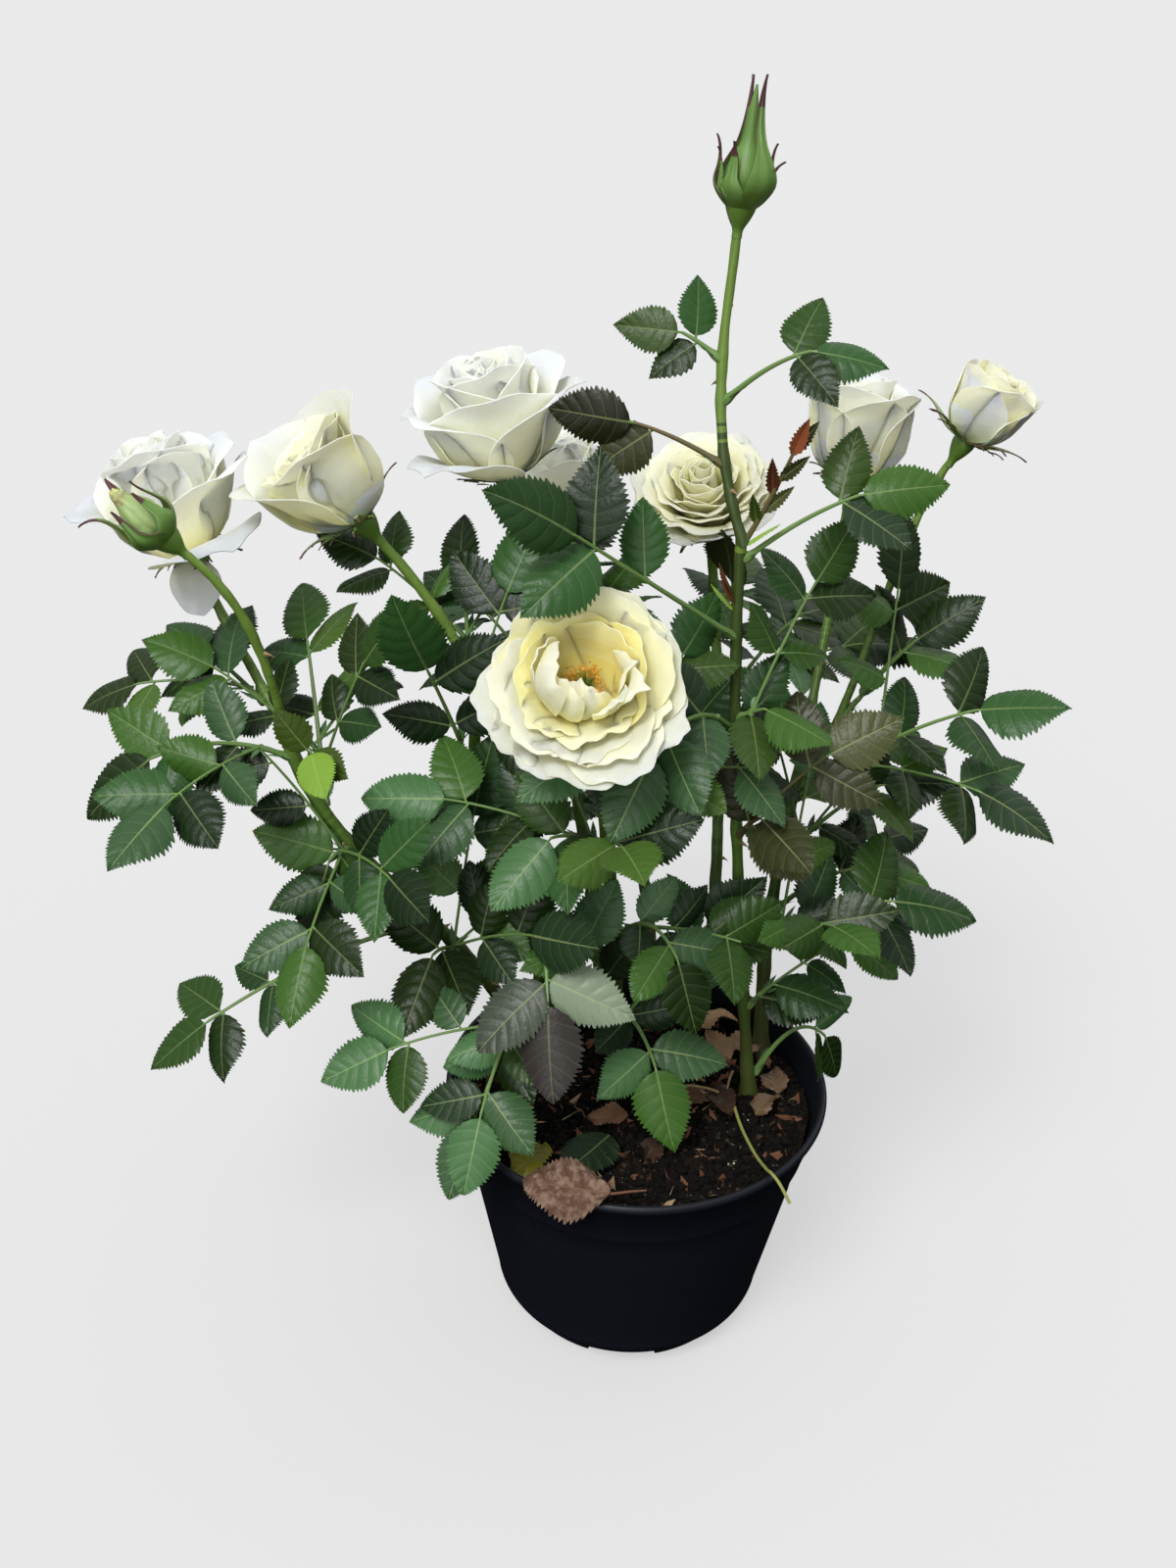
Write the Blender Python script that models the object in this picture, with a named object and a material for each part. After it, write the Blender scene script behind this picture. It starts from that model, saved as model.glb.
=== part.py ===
"""White patio rose in a black plastic pot, built as separate named solids.

All sizes and places are in millimetres and become metres when a mesh is made. The origin is the
middle of the pot's flat underside, with +Z up. The best-dressed side of the bush faces -Y.

Canes rise from the soil and fork into stalks, each stalk ends in a bloom, and sprays of compound
leaves grow out of canes and stalks. Every limb, bloom and spray is one closed solid, and stands
GAP clear of the limb that it grows from.
"""
import math
import random
from typing import NamedTuple

import bmesh
import bpy
from mathutils import Matrix, Vector
from mathutils.bvhtree import BVHTree

MM = 0.001
GAP = 0.3
UP = Vector((0, 0, 1))
HEART = Vector((-20, 35, 200))      # the middle of the foliage
LIGHT = Vector((0, -0.45, 0.9))     # leaf blades turn to it
GOLDEN_ANGLE = math.radians(137.508)

# Pot: a turned tub with a deep band under its rolled lip and drain notches under its foot.
POT_SIDES = 32
POT_HEIGHT = 91.0
LIP_RADIUS = 65.0
LIP_DEPTH = 3.0
LIP_OVERHANG = 1.4
LIP_WIDTH = 2.4
LIP_CHAMFER = 0.9
BAND_DEPTH = 19.0
BAND_FOOT_RADIUS = 59.8
BODY_TOP_RADIUS = 57.0
STEP_RISE = 0.6                     # height over which the wall steps out to its band and lip
FOOT_RADIUS = 47.0
FOOT_ROUNDING = 9.0
FOOT_STEPS = 4
WALL = 1.6
FLOOR = 7.2
NOTCHES = 4
NOTCH_WIDTH = 23.0
NOTCH_HEIGHT = 3.4
FEET_RADIUS = 40.5                  # outside of the feet between the notches
FEET_INSIDE = 31.0

# Soil: fills the pot to just under its lip, uneven except where a cane comes out of it.
SOIL_LEVEL = 82.0
SOIL_BUMP = 1.6
SOIL_RINGS = 5
BARE_RADIUS = 10.8                  # round a cane's foot, where the soil is level

LIMB_SIDES = 5
LIMB_RINGS = 7
FLARE = 0.45
FLARE_LENGTH = 9.0

# Petals as (radius, height) shares of a bloom's width and height, half open and fully open.
PETALS_UPRIGHT = ((0.12, 0.0), (0.36, 0.22), (0.38, 0.68), (0.48, 0.92))
PETALS_FLAT = ((0.12, 0.0), (0.34, 0.20), (0.46, 0.52), (0.50, 0.60))
PETAL_COLUMNS = 2
PETAL_NOTCH = 0.08
PETAL_THICKNESS = 1.2
COROLLA_LIFT = 0.08                 # share of the bloom's height between hip and petals

# Hip under a bloom, and the heart of tight petals on it.
HIP_HEIGHT = 8.0
HIP_BELLY = 4.5                     # height at which the hip is widest
HIP_RADIUS = 2.6                    # at least
HIP_SWELL = 1.6                     # times the radius of its stalk
HIP_NECK = 0.9
HEART_SIDES = 7
HEART_WIDTH = 0.30                  # radius as a share of the bloom's width
BUD_WIDTH = 0.5
HEART_BELLY = 0.4
HEART_SHOULDER = (0.7, 0.85)
HEART_SINK = 0.35                   # how much lower the heart of a flat flower is

SEPALS = 5
SHORT_SEPAL = 0.6                   # on a bud, which has two long sepals
SEPAL_HALF_WIDTH = 2.4
SEPAL_HALF_THICKNESS = 0.6
SEPAL_WAIST = 0.3

# Leaflet shape, as shares of its length, then how it joins its stalk.
LEAF_WIDEST = 0.42
LEAF_HALF_WIDTH = 0.35
LEAF_THICKNESS = 0.04
LEAF_FOLD = 0.28
LEAF_DROOP = 0.16
LEAF_SINK = 0.25
PAIR_STAGGER = 0.9
LEAF_SPREAD = math.radians(58)
LEAF_CLEARANCE = 0.45
BLADE_ROOT = 0.12                   # share of a leaflet that its neighbours may touch
TWISTS = (0, 0.3, -0.3, 0.6, -0.6)  # radians, tried in turn
PAIR_FIRST = 0.22
PAIR_STEP = 0.72
PAIR_SHRINK = 0.16
SIDE_ARCH = 5.0
SIDE_ATTEMPTS = 8
ARCH_CHANGES = (0, 6, -6, 12, -12, 18, -18, 26, -26)
TWIG_FOOT = 0.12                    # least share of a twig where its first side leaf grows
LEAST_STALK = 0.25                  # least share of the way to its tip that a leaf stalk takes
SPREAD_JITTER = 0.15                # radians
FIRST_PAIR_SIZE = 0.92              # of the leaflet on the end
AHEAD = 0.02                        # share of a twig over which its direction is taken
SPRAY_STEM_RADIUS = 1.1
RACHIS_RADIUS = 0.65
TWIG_SIDES = 3


class Limb(NamedTuple):
    """A tapering cane or stalk along a cubic curve, from the soil or from another limb."""
    name: str
    host: str
    foot: tuple       # (x, y) on the soil, or (fraction,) along the host
    leave: tuple      # direction and pull of the curve at the foot
    tip: tuple
    arrive: tuple     # direction and pull of the curve at the tip
    radii: tuple      # at the foot and at the tip


LIMBS = (
    Limb("tall_cane", "", (39, 7), (-8, -3, 70), (22, 12, 283), (0, 2, 60), (2.3, 1.8)),
    Limb("tall_shoot", "tall_cane", (1.0,), (-12, 6, 30), (15, 28, 367), (2, 2, 30), (1.8, 1.5)),
    Limb("right_cane", "", (44, 31), (-3, 4, 40), (50, 48, 196), (6, 8, 40), (2.7, 2.0)),
    Limb("right_inner_stalk", "right_cane", (1.0,), (3, 10, 25), (60, 90, 267), (1, 1, 28), (1.8, 1.5)),
    Limb("right_outer_stalk", "right_cane", (0.9,), (14, 2, 20), (90, 74, 289), (13, -4, 20), (1.6, 1.4)),
    Limb("left_cane", "", (-39, 20), (-16, -14, 66), (-116, 8, 212), (-9, 0, 49), (2.9, 2.1)),
    Limb("left_bud_stalk", "left_cane", (1.0,), (-2, -6, 24), (-139, -6, 277), (-18, -2, 15), (1.8, 1.4)),
    Limb("left_rose_stalk", "left_cane", (0.9,), (-10, 16, 14), (-149, 46, 248), (-4, -3, 18), (1.9, 1.7)),
    Limb("mid_left_cane", "", (-26, 31), (-14, 2, 50), (-59, 32, 206), (3, 0, 36), (2.8, 2.2)),
    Limb("mid_left_stalk", "mid_left_cane", (1.0,), (4, 0, 20), (-90, 36, 268), (-14, -4, 18), (2.1, 1.8)),
    Limb("back_left_cane", "", (-14, 46), (-4, 8, 60), (-50, 62, 274), (-9, -4, 38), (2.6, 1.8)),
    Limb("back_cane", "", (4, 52), (0, 16, 60), (-33, 112, 243), (-5, 0, 50), (2.6, 1.8)),
    Limb("back_right_cane", "", (22, 47), (8, 12, 60), (15, 98, 250), (-3, -28, 22), (2.6, 1.8)),
    Limb("front_cane", "", (-8, 12), (2, -6, 60), (-20, -22, 244), (0, -26, 14), (2.8, 2.0)),
    Limb("front_left_cane", "", (-30, 4), (-4, -4, 36), (-32, -14, 172), (3, -4, 30), (2.3, 1.5)),
)


class Bloom(NamedTuple):
    """A rose or bud on the tip of a limb, opening along the limb's own direction."""
    name: str
    host: str
    width: float      # across the open petals
    height: float     # from the hip to the top of the petals
    openness: float   # 0 for a closed bud to 1 for a flat flower
    petals: int       # in the outer ring
    sepal: float      # length of a sepal


BLOOMS = (
    Bloom("left_rose", "left_rose_stalk", 58, 38, 0.65, 5, 17),
    Bloom("left_bud", "left_bud_stalk", 13, 17, 0.0, 0, 22),
    Bloom("mid_left_rose", "mid_left_stalk", 43, 36, 0.4, 5, 20),
    Bloom("back_left_rose", "back_left_cane", 58, 40, 0.6, 5, 18),
    Bloom("back_rose", "back_cane", 42, 30, 0.5, 5, 16),
    Bloom("back_right_rose", "back_right_cane", 47, 34, 0.7, 5, 16),
    Bloom("open_rose", "front_cane", 60, 24, 1.0, 6, 18),
    Bloom("right_rose", "right_inner_stalk", 40, 37, 0.4, 5, 15),
    Bloom("right_small_rose", "right_outer_stalk", 30, 26, 0.35, 5, 22),
    Bloom("top_bud", "tall_shoot", 14, 22, 0.0, 0, 36),
)


class Spray(NamedTuple):
    """A leafy twig from a limb to the tip of its last leaflet, with more leaves along it."""
    name: str
    host: str
    at: float         # fraction along the host
    reach: tuple
    leaves: int = 2
    leaflet: float = 28.0
    arch: float = 10.0
    facing: tuple = ()
    pairs: int = 2


SPRAYS = (
    Spray("top_left_spray", "tall_shoot", 0.60, (-18, 24, 341), 1, 20, 4, (0, -0.9, 0.5), 1),
    Spray("top_right_spray", "tall_shoot", 0.46, (58, 12, 337), 1, 22, 8, (0, -0.6, 0.8), 1),
    Spray("bronze_spray", "tall_shoot", 0.25, (-35, 14, 318), 1, 25, 4, (0, -1, 0.1), 1),
    Spray("front_trio_spray", "tall_cane", 0.84, (-44, -38, 313), 1, 31, 0, (-0.1, -0.8, 0.6)),
    Spray("right_upper_spray", "tall_cane", 0.97, (78, 10, 304), 1, 26, 6, (0, -0.8, 0.6), 1),
    Spray("mottled_spray", "front_left_cane", 0.92, (-25, -63, 119), 1, 31, 10, (0, -0.9, 0.4)),
    Spray("under_bloom_spray", "tall_cane", 0.68, (-15, -52, 204), 2, 28, 22, (0, -0.8, 0.6)),
    Spray("brown_spray", "tall_cane", 0.50, (46, -28, 198), 2, 28, 10, (0, -0.8, 0.6), 1),
    Spray("right_near_spray", "tall_cane", 0.70, (52, -14, 232), 2, 26, 6),
    Spray("right_high_spray", "right_outer_stalk", 0.26, (99, 50, 251), 2, 26, 5, (), 1),
    Spray("right_far_spray", "right_cane", 0.86, (124, 20, 231), 3, 29, 10),
    Spray("right_mid_spray", "right_cane", 0.68, (96, 34, 195), 3, 26, 10),
    Spray("right_mid_low_spray", "right_cane", 0.50, (93, 28, 159), 2, 25, 10),
    Spray("right_low_spray", "tall_cane", 0.30, (107, 6, 163), 3, 29, 8),
    Spray("right_low_inner_spray", "tall_cane", 0.18, (63, -8, 134), 2, 26, 10),
    Spray("rim_right_spray", "tall_cane", 0.04, (80, 10, 66), 1, 20, 30, (0.6, -0.7, 0.3), 1),
    Spray("left_far_spray", "left_cane", 0.95, (-181, -18, 190), 2, 29, 14, (-0.2, -0.7, 0.6)),
    Spray("left_back_spray", "left_rose_stalk", 0.35, (-168, 58, 227), 2, 25, 8),
    Spray("left_young_spray", "left_cane", 0.88, (-99, -26, 212), 1, 19, 12, (0, -0.9, 0.4), 1),
    Spray("left_inner_spray", "left_cane", 0.80, (-122, 64, 238), 4, 27, 8),
    Spray("left_centre_spray", "mid_left_cane", 0.82, (-76, -12, 262), 3, 31, 4, (-0.1, -0.8, 0.6)),
    Spray("left_top_spray", "mid_left_stalk", 0.35, (-68, 58, 265), 3, 25, 6),
    Spray("left_hang_spray", "left_cane", 0.68, (-111, -22, 142), 4, 29, 12, (-0.2, -0.8, 0.5)),
    Spray("left_droop_spray", "left_cane", 0.42, (-162, -30, 104), 1, 25, 8),
    Spray("left_low_spray", "left_cane", 0.32, (-76, -38, 127), 4, 29, 14, (-0.1, -0.8, 0.5)),
    Spray("rim_left_spray", "front_left_cane", 0.45, (-54, -72, 80), 3, 26, 22),
    Spray("front_low_spray", "front_cane", 0.16, (16, -47, 87), 3, 28, 16),
    Spray("front_mid_spray", "front_cane", 0.32, (24, -42, 122), 3, 25, 14),
    Spray("centre_right_spray", "front_cane", 0.66, (20, -30, 218), 3, 27, 10),
    Spray("centre_dark_spray", "front_cane", 0.50, (-50, -36, 175), 4, 29, 16),
    Spray("back_left_spray", "back_left_cane", 0.52, (-82, 124, 214), 5, 30, 12),
    Spray("back_mid_spray", "back_cane", 0.30, (-14, 138, 152), 6, 30, 12),
    Spray("back_right_spray", "back_right_cane", 0.55, (72, 124, 220), 5, 30, 12),
)

FINISHES = {
    "pot": ((0.012, 0.014, 0.020), 0.38),
    "soil": ((0.030, 0.022, 0.016), 0.95),
    "stem": ((0.110, 0.260, 0.045), 0.50),
    "leaf": ((0.030, 0.110, 0.045), 0.40),
    "petal": ((0.880, 0.850, 0.680), 0.60),
}


# ---------------------------------------------------------------- meshes and solids

class Piece(NamedTuple):
    """The corners, in millimetres, and faces of one closed shape."""
    corners: list
    faces: list


def mesh_object(name, piece, collection=None):
    mesh = bpy.data.meshes.new(name)
    mesh.from_pydata([corner * MM for corner in piece.corners], [], piece.faces)
    obj = bpy.data.objects.new(name, mesh)
    (collection or bpy.context.scene.collection).objects.link(obj)
    return obj


def finish(obj, look):
    """Give an object a plain material of its own and smooth shading across its round sides."""
    colour, roughness = FINISHES[look]
    material = bpy.data.materials.new(obj.name)
    material.use_nodes = True
    shader = material.node_tree.nodes["Principled BSDF"]
    shader.inputs["Base Color"].default_value = (*colour, 1)
    shader.inputs["Roughness"].default_value = roughness
    shader.inputs["Metallic"].default_value = 0
    obj.data.materials.append(material)
    obj.data.shade_smooth()
    obj.data.set_sharp_from_angle(angle=math.radians(35))
    obj.parent = bpy.data.objects["rose_in_pot"]


def turned(profile, sides):
    """Revolve (radius, height) points, both ends on the axis, listed with the solid on their left."""
    corners = []
    rings = []
    for radius, height in profile:
        count = 1 if radius == 0 else sides
        rings.append(range(len(corners), len(corners) + count))
        for k in range(count):
            angle = math.tau * k / sides
            corners.append(Vector((radius * math.cos(angle), radius * math.sin(angle), height)))
    faces = []
    for low, high in zip(rings, rings[1:]):
        for k in range(sides):
            after = (k + 1) % sides
            loop = [low[k % len(low)], low[after % len(low)],
                    high[after % len(high)], high[k % len(high)]]
            faces.append(list(dict.fromkeys(loop)))
    return Piece(corners, faces)


def tube(points, radii, sides, first_normal):
    """A closed tube whose foot is cut square to first_normal and the rest square to its path."""
    corners = []
    normal = first_normal.normalized()
    side = normal.orthogonal().normalized()
    for i, point in enumerate(points):
        if i > 0:
            normal = (points[min(i + 1, len(points) - 1)] - points[i - 1]).normalized()
            side = (side - normal * side.dot(normal)).normalized()
        across = normal.cross(side)
        for k in range(sides):
            angle = math.tau * k / sides
            corners.append(point + (side * math.cos(angle) + across * math.sin(angle)) * radii[i])
    faces = [list(reversed(range(sides)))]
    for first in range(0, len(corners) - sides, sides):
        for k in range(sides):
            after = (k + 1) % sides
            faces.append([first + k, first + after, first + sides + after, first + sides + k])
    faces.append(list(range(len(corners) - sides, len(corners))))
    return Piece(corners, faces)


def lens(rim, middle, half):
    """A closed blade: a rim of corners joined to a point on each side of its middle."""
    count = len(rim)
    faces = []
    for k in range(count):
        faces.append([k, (k + 1) % count, count])
        faces.append([(k + 1) % count, k, count + 1])
    return Piece(rim + [middle + half, middle - half], faces)


def surfaces(bm):
    """The faces of a mesh in groups, one for each separate closed surface."""
    groups, seen = [], set()
    for start in bm.faces:
        if start in seen:
            continue
        seen.add(start)
        group, waiting = [], [start]
        while waiting:
            face = waiting.pop()
            group.append(face)
            for neighbour in (other for edge in face.edges for other in edge.link_faces):
                if neighbour not in seen:
                    seen.add(neighbour)
                    waiting.append(neighbour)
        groups.append(group)
    return groups


def keep_outer_body(mesh):
    """Drop all but the largest surface, and with it sealed hollows and loose scraps.

    Returns whether what is left is closed.
    """
    bm = bmesh.new()
    bm.from_mesh(mesh)
    groups = sorted(surfaces(bm), key=lambda group: sum(face.calc_area() for face in group))
    for group in groups[:-1]:
        bmesh.ops.delete(bm, geom=group, context="FACES")
    closed = all(edge.is_manifold for edge in bm.edges)
    bm.to_mesh(mesh)
    bm.free()
    return closed


def united(body, others, solver):
    """The union of a body with a collection of others, as a new mesh."""
    union = body.modifiers.new("union", "BOOLEAN")
    union.operation = "UNION"
    union.operand_type = "COLLECTION"
    union.collection = others
    union.solver = solver
    depsgraph = bpy.context.evaluated_depsgraph_get()
    mesh = bpy.data.meshes.new_from_object(body.evaluated_get(depsgraph))
    body.modifiers.clear()
    return mesh


def fuse(name, pieces):
    """Join closed pieces into one body by one union on a collection, applied."""
    body = mesh_object(name, pieces[0])
    others = bpy.data.collections.new(name + "_pieces")
    bpy.context.scene.collection.children.link(others)
    for i, piece in enumerate(pieces[1:]):
        mesh_object(f"{name}_piece_{i}", piece, others)
    for solver in ("EXACT", "MANIFOLD"):
        mesh = united(body, others, solver)
        if keep_outer_body(mesh):
            break
    body.data = mesh
    for obj in list(others.objects):
        bpy.data.objects.remove(obj)
    bpy.data.collections.remove(others)
    return body


class Occupied:
    """What already stands in the bush, so that later leaves can keep clear of it."""

    def __init__(self):
        self.trees = []

    def add(self, *pieces):
        self.trees += [BVHTree.FromPolygons(piece.corners, piece.faces) for piece in pieces]

    def touches(self, piece):
        tree = BVHTree.FromPolygons(piece.corners, piece.faces)
        return any(tree.overlap(other) for other in self.trees)


# ---------------------------------------------------------------- pot and soil

def foot_arc():
    """The rounded lower corner of the tub, from its feet up to its wall."""
    centre = FOOT_RADIUS - FOOT_ROUNDING
    first = math.asin((FEET_RADIUS - centre) / FOOT_ROUNDING)
    arc = []
    for i in range(FOOT_STEPS + 1):
        angle = first + (math.pi / 2 - first) * i / FOOT_STEPS
        arc.append((centre + FOOT_ROUNDING * math.sin(angle),
                    NOTCH_HEIGHT + FOOT_ROUNDING * (1 - math.cos(angle))))
    return arc


def inner_profile(inset):
    """The inside of the tub from its floor to its band, moved inward by inset."""
    ledge = POT_HEIGHT - BAND_DEPTH + WALL + inset
    return [(0, FLOOR + inset),
            (FOOT_RADIUS - FOOT_ROUNDING / 2 - inset, FLOOR + inset),
            (FOOT_RADIUS - WALL - inset, FLOOR + FOOT_ROUNDING / 2 + inset),
            (BODY_TOP_RADIUS - WALL - inset, ledge),
            (BAND_FOOT_RADIUS - WALL - inset, ledge)]


def make_pot():
    band_foot = POT_HEIGHT - BAND_DEPTH
    lip_foot = POT_HEIGHT - LIP_DEPTH
    outer = [(0, 0), (FEET_RADIUS, 0), *foot_arc(),
             (BODY_TOP_RADIUS, band_foot - STEP_RISE), (BAND_FOOT_RADIUS, band_foot),
             (LIP_RADIUS - LIP_OVERHANG, lip_foot - STEP_RISE), (LIP_RADIUS, lip_foot),
             (LIP_RADIUS, POT_HEIGHT - LIP_CHAMFER), (LIP_RADIUS - LIP_CHAMFER, POT_HEIGHT),
             (LIP_RADIUS - LIP_WIDTH, POT_HEIGHT), (LIP_RADIUS - LIP_OVERHANG - WALL, lip_foot)]
    pot = mesh_object("pot", turned(outer + list(reversed(inner_profile(0))), POT_SIDES))
    cut = pot.modifiers.new("drain_notches", "BOOLEAN")
    cut.operation = "DIFFERENCE"
    cut.object = notch_cutter()
    finish(pot, "pot")


def notch_cutter():
    """One cutter of boxes round the foot, which leave a ring of feet to stand on."""
    cutter = bpy.data.meshes.new("notch_cutter")
    bm = bmesh.new()
    depth = FEET_RADIUS - FEET_INSIDE + 2 * GAP
    middle = (FEET_RADIUS + FEET_INSIDE) / 2 + GAP
    for k in range(NOTCHES):
        turn = Matrix.Rotation(math.tau * k / NOTCHES, 4, "Z")
        shift = Matrix.Translation((middle * MM, 0, 0))
        size = Matrix.Diagonal((depth * MM, NOTCH_WIDTH * MM, 2 * NOTCH_HEIGHT * MM, 1))
        bmesh.ops.create_cube(bm, size=1, matrix=turn @ shift @ size)
    bm.to_mesh(cutter)
    bm.free()
    obj = bpy.data.objects.new("notch_cutter", cutter)
    bpy.context.scene.collection.objects.link(obj)
    obj.hide_render = True
    obj.display_type = "WIRE"
    return obj


def soil_bump(x, y, rng):
    """Unevenness of the soil, which fades out near each cane's foot."""
    feet = [Vector(limb.foot) for limb in LIMBS if not limb.host]
    nearest = min((Vector((x, y)) - foot).length for foot in feet)
    return rng.uniform(-SOIL_BUMP, SOIL_BUMP) * min(1, max(0, nearest / BARE_RADIUS - 1))


def make_soil():
    rng = random.Random("soil")
    edge = BAND_FOOT_RADIUS - WALL - GAP
    profile = inner_profile(GAP)
    for ring in range(SOIL_RINGS, -1, -1):
        profile.append((edge * ring / SOIL_RINGS, SOIL_LEVEL))
    piece = turned(profile, POT_SIDES)
    for corner in piece.corners:
        inside = corner.xy.length < edge - 1
        if inside and corner.z == SOIL_LEVEL:
            corner.z += soil_bump(corner.x, corner.y, rng)
    finish(mesh_object("soil", piece), "soil")
    return piece


# ---------------------------------------------------------------- canes and stalks

class Path(NamedTuple):
    points: list
    radii: list

    def at(self, fraction):
        """Point, direction and radius at a fraction of the way along."""
        place = min(fraction, 1.0) * (len(self.points) - 1)
        i = min(int(place), len(self.points) - 2)
        step = place - i
        point = self.points[i].lerp(self.points[i + 1], step)
        direction = (self.points[i + 1] - self.points[i]).normalized()
        return point, direction, self.radii[i] + (self.radii[i + 1] - self.radii[i]) * step


def bezier(foot, leave, tip, arrive, t):
    a, b = foot + leave, tip - arrive
    s = 1 - t
    return foot * s ** 3 + a * 3 * s * s * t + b * 3 * s * t * t + tip * t ** 3


def start_on(path, fraction, heading):
    """Where a branch starts, just clear of its host, and the way its foot faces."""
    point, direction, radius = path.at(fraction)
    if fraction >= 1:
        return point + direction * GAP, direction
    outward = (heading - direction * heading.dot(direction)).normalized()
    return point + outward * (radius + GAP), outward


def limb_path(limb, paths):
    leave, arrive, tip = Vector(limb.leave), Vector(limb.arrive), Vector(limb.tip)
    if limb.host:
        foot, facing = start_on(paths[limb.host], limb.foot[0], leave)
    else:
        foot, facing = Vector((*limb.foot, SOIL_LEVEL + GAP)), UP
    points, radii = [], []
    for i in range(LIMB_RINGS + 1):
        t = i / LIMB_RINGS
        point = bezier(foot, leave, tip, arrive, t)
        radius = limb.radii[0] + (limb.radii[1] - limb.radii[0]) * t
        if not limb.host:
            radius *= 1 + FLARE * math.exp(-(point.z - SOIL_LEVEL) / FLARE_LENGTH)
        points.append(point)
        radii.append(radius)
    return Path(points, radii), facing


def make_limbs(occupied):
    paths = {}
    for limb in LIMBS:
        path, facing = limb_path(limb, paths)
        paths[limb.name] = path
        piece = tube(path.points, path.radii, LIMB_SIDES, facing)
        finish(mesh_object(limb.name, piece), "stem")
        occupied.add(piece)
    return paths


# ---------------------------------------------------------------- blooms

def axis_frame(origin, axis):
    """A matrix whose Z runs along the axis from the origin."""
    side = axis.orthogonal().normalized()
    across = axis.cross(side)
    turn = Matrix((side, across, axis)).transposed()
    return Matrix.Translation(origin) @ turn.to_4x4()


def moved(piece, frame):
    return Piece([frame @ corner for corner in piece.corners], piece.faces)


def petal_profile(bloom):
    """Radius and height of the petals from foot to rim: a bowl that flattens as the rose opens."""
    profile = []
    for upright, flat in zip(PETALS_UPRIGHT, PETALS_FLAT):
        radius = upright[0] + (flat[0] - upright[0]) * bloom.openness
        height = upright[1] + (flat[1] - upright[1]) * bloom.openness
        profile.append((radius * bloom.width, height * bloom.height))
    return profile


def corolla(bloom):
    """The outer petals as a thin-walled cup whose edge dips between them."""
    profile = petal_profile(bloom)
    rows = len(profile) - 1
    sides = bloom.petals * PETAL_COLUMNS
    outer, lining = [], []
    for row, (radius, height) in enumerate(profile):
        after = profile[min(row + 1, rows)]
        before = profile[max(row - 1, 0)]
        lean = math.atan2(after[0] - before[0], after[1] - before[1])
        for k in range(sides):
            angle = math.tau * k / sides
            notch = 0 if k % PETAL_COLUMNS else PETAL_NOTCH * bloom.width * (row / rows) ** 3
            out = Vector((math.cos(angle), math.sin(angle), 0))
            along = out * math.sin(lean) + UP * math.cos(lean)
            point = out * radius + UP * height - along * notch
            wall = (out * math.cos(lean) - UP * math.sin(lean)) * PETAL_THICKNESS
            outer.append(point)
            lining.append(point - wall)
    return Piece(outer + lining, cup_faces(rows, sides, len(outer)))


def cup_faces(rows, sides, lining):
    """Faces of an open cup with an outer wall, a lining, and both its edges joined."""
    faces = []
    for k in range(sides):
        after = (k + 1) % sides
        for first in range(0, rows * sides, sides):
            quad = [first + k, first + after, first + sides + after, first + sides + k]
            faces.append(quad)
            faces.append([lining + corner for corner in reversed(quad)])
        top = rows * sides
        faces.append([after, k, lining + k, lining + after])
        faces.append([top + k, top + after, lining + top + after, lining + top + k])
    return faces


def sepal(bloom, azimuth, length, closed):
    """A narrow pointed blade from under the petals, folded down or standing up round a bud."""
    outward = Vector((math.cos(azimuth), math.sin(azimuth), 0))
    rise = 0.97 if closed else -0.25
    direction = (outward * (0.14 if closed else 0.95) + UP * rise).normalized()
    normal = (UP - direction * direction.z).normalized() if not closed else outward
    root = UP * HIP_HEIGHT + outward * bloom.width * (0.3 if closed else 0.02)
    side = direction.cross(normal)
    waist = root + direction * length * SEPAL_WAIST
    rim = [root, waist + side * SEPAL_HALF_WIDTH, root + direction * length, waist - side * SEPAL_HALF_WIDTH]
    return lens(rim, waist, normal * SEPAL_HALF_THICKNESS)


def bloom_pieces(bloom, stalk_radius):
    """The hip and heart, the sepals and the petals of one bloom, with +Z along its axis."""
    closed = bloom.openness == 0
    hip = max(HIP_RADIUS, stalk_radius * HIP_SWELL)
    heart = bloom.width * (BUD_WIDTH if closed else HEART_WIDTH)
    rise = bloom.height * (1 - HEART_SINK * bloom.openness)
    shoulder, shoulder_rise = HEART_SHOULDER
    profile = [(0, 0), (stalk_radius, 0), (hip, HIP_BELLY), (hip * HIP_NECK, HIP_HEIGHT),
               (heart, HIP_HEIGHT + rise * HEART_BELLY),
               (heart * shoulder, HIP_HEIGHT + rise * shoulder_rise), (0, HIP_HEIGHT + rise)]
    pieces = [turned(profile, HEART_SIDES)]
    for k in range(SEPALS):
        length = bloom.sepal * (SHORT_SEPAL if closed and k > 1 else 1)
        pieces.append(sepal(bloom, math.tau * k / SEPALS, length, closed))
    if bloom.petals:
        lift = HIP_HEIGHT + bloom.height * COROLLA_LIFT
        pieces.append(moved(corolla(bloom), Matrix.Translation((0, 0, lift))))
    return pieces


def make_blooms(paths, occupied):
    for bloom in BLOOMS:
        tip, direction, radius = paths[bloom.host].at(1.0)
        frame = axis_frame(tip + direction * GAP, direction)
        pieces = [moved(piece, frame) for piece in bloom_pieces(bloom, radius)]
        finish(fuse(bloom.name, pieces), "petal" if bloom.petals else "stem")
        occupied.add(*pieces)


# ---------------------------------------------------------------- sprays of leaves

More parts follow.
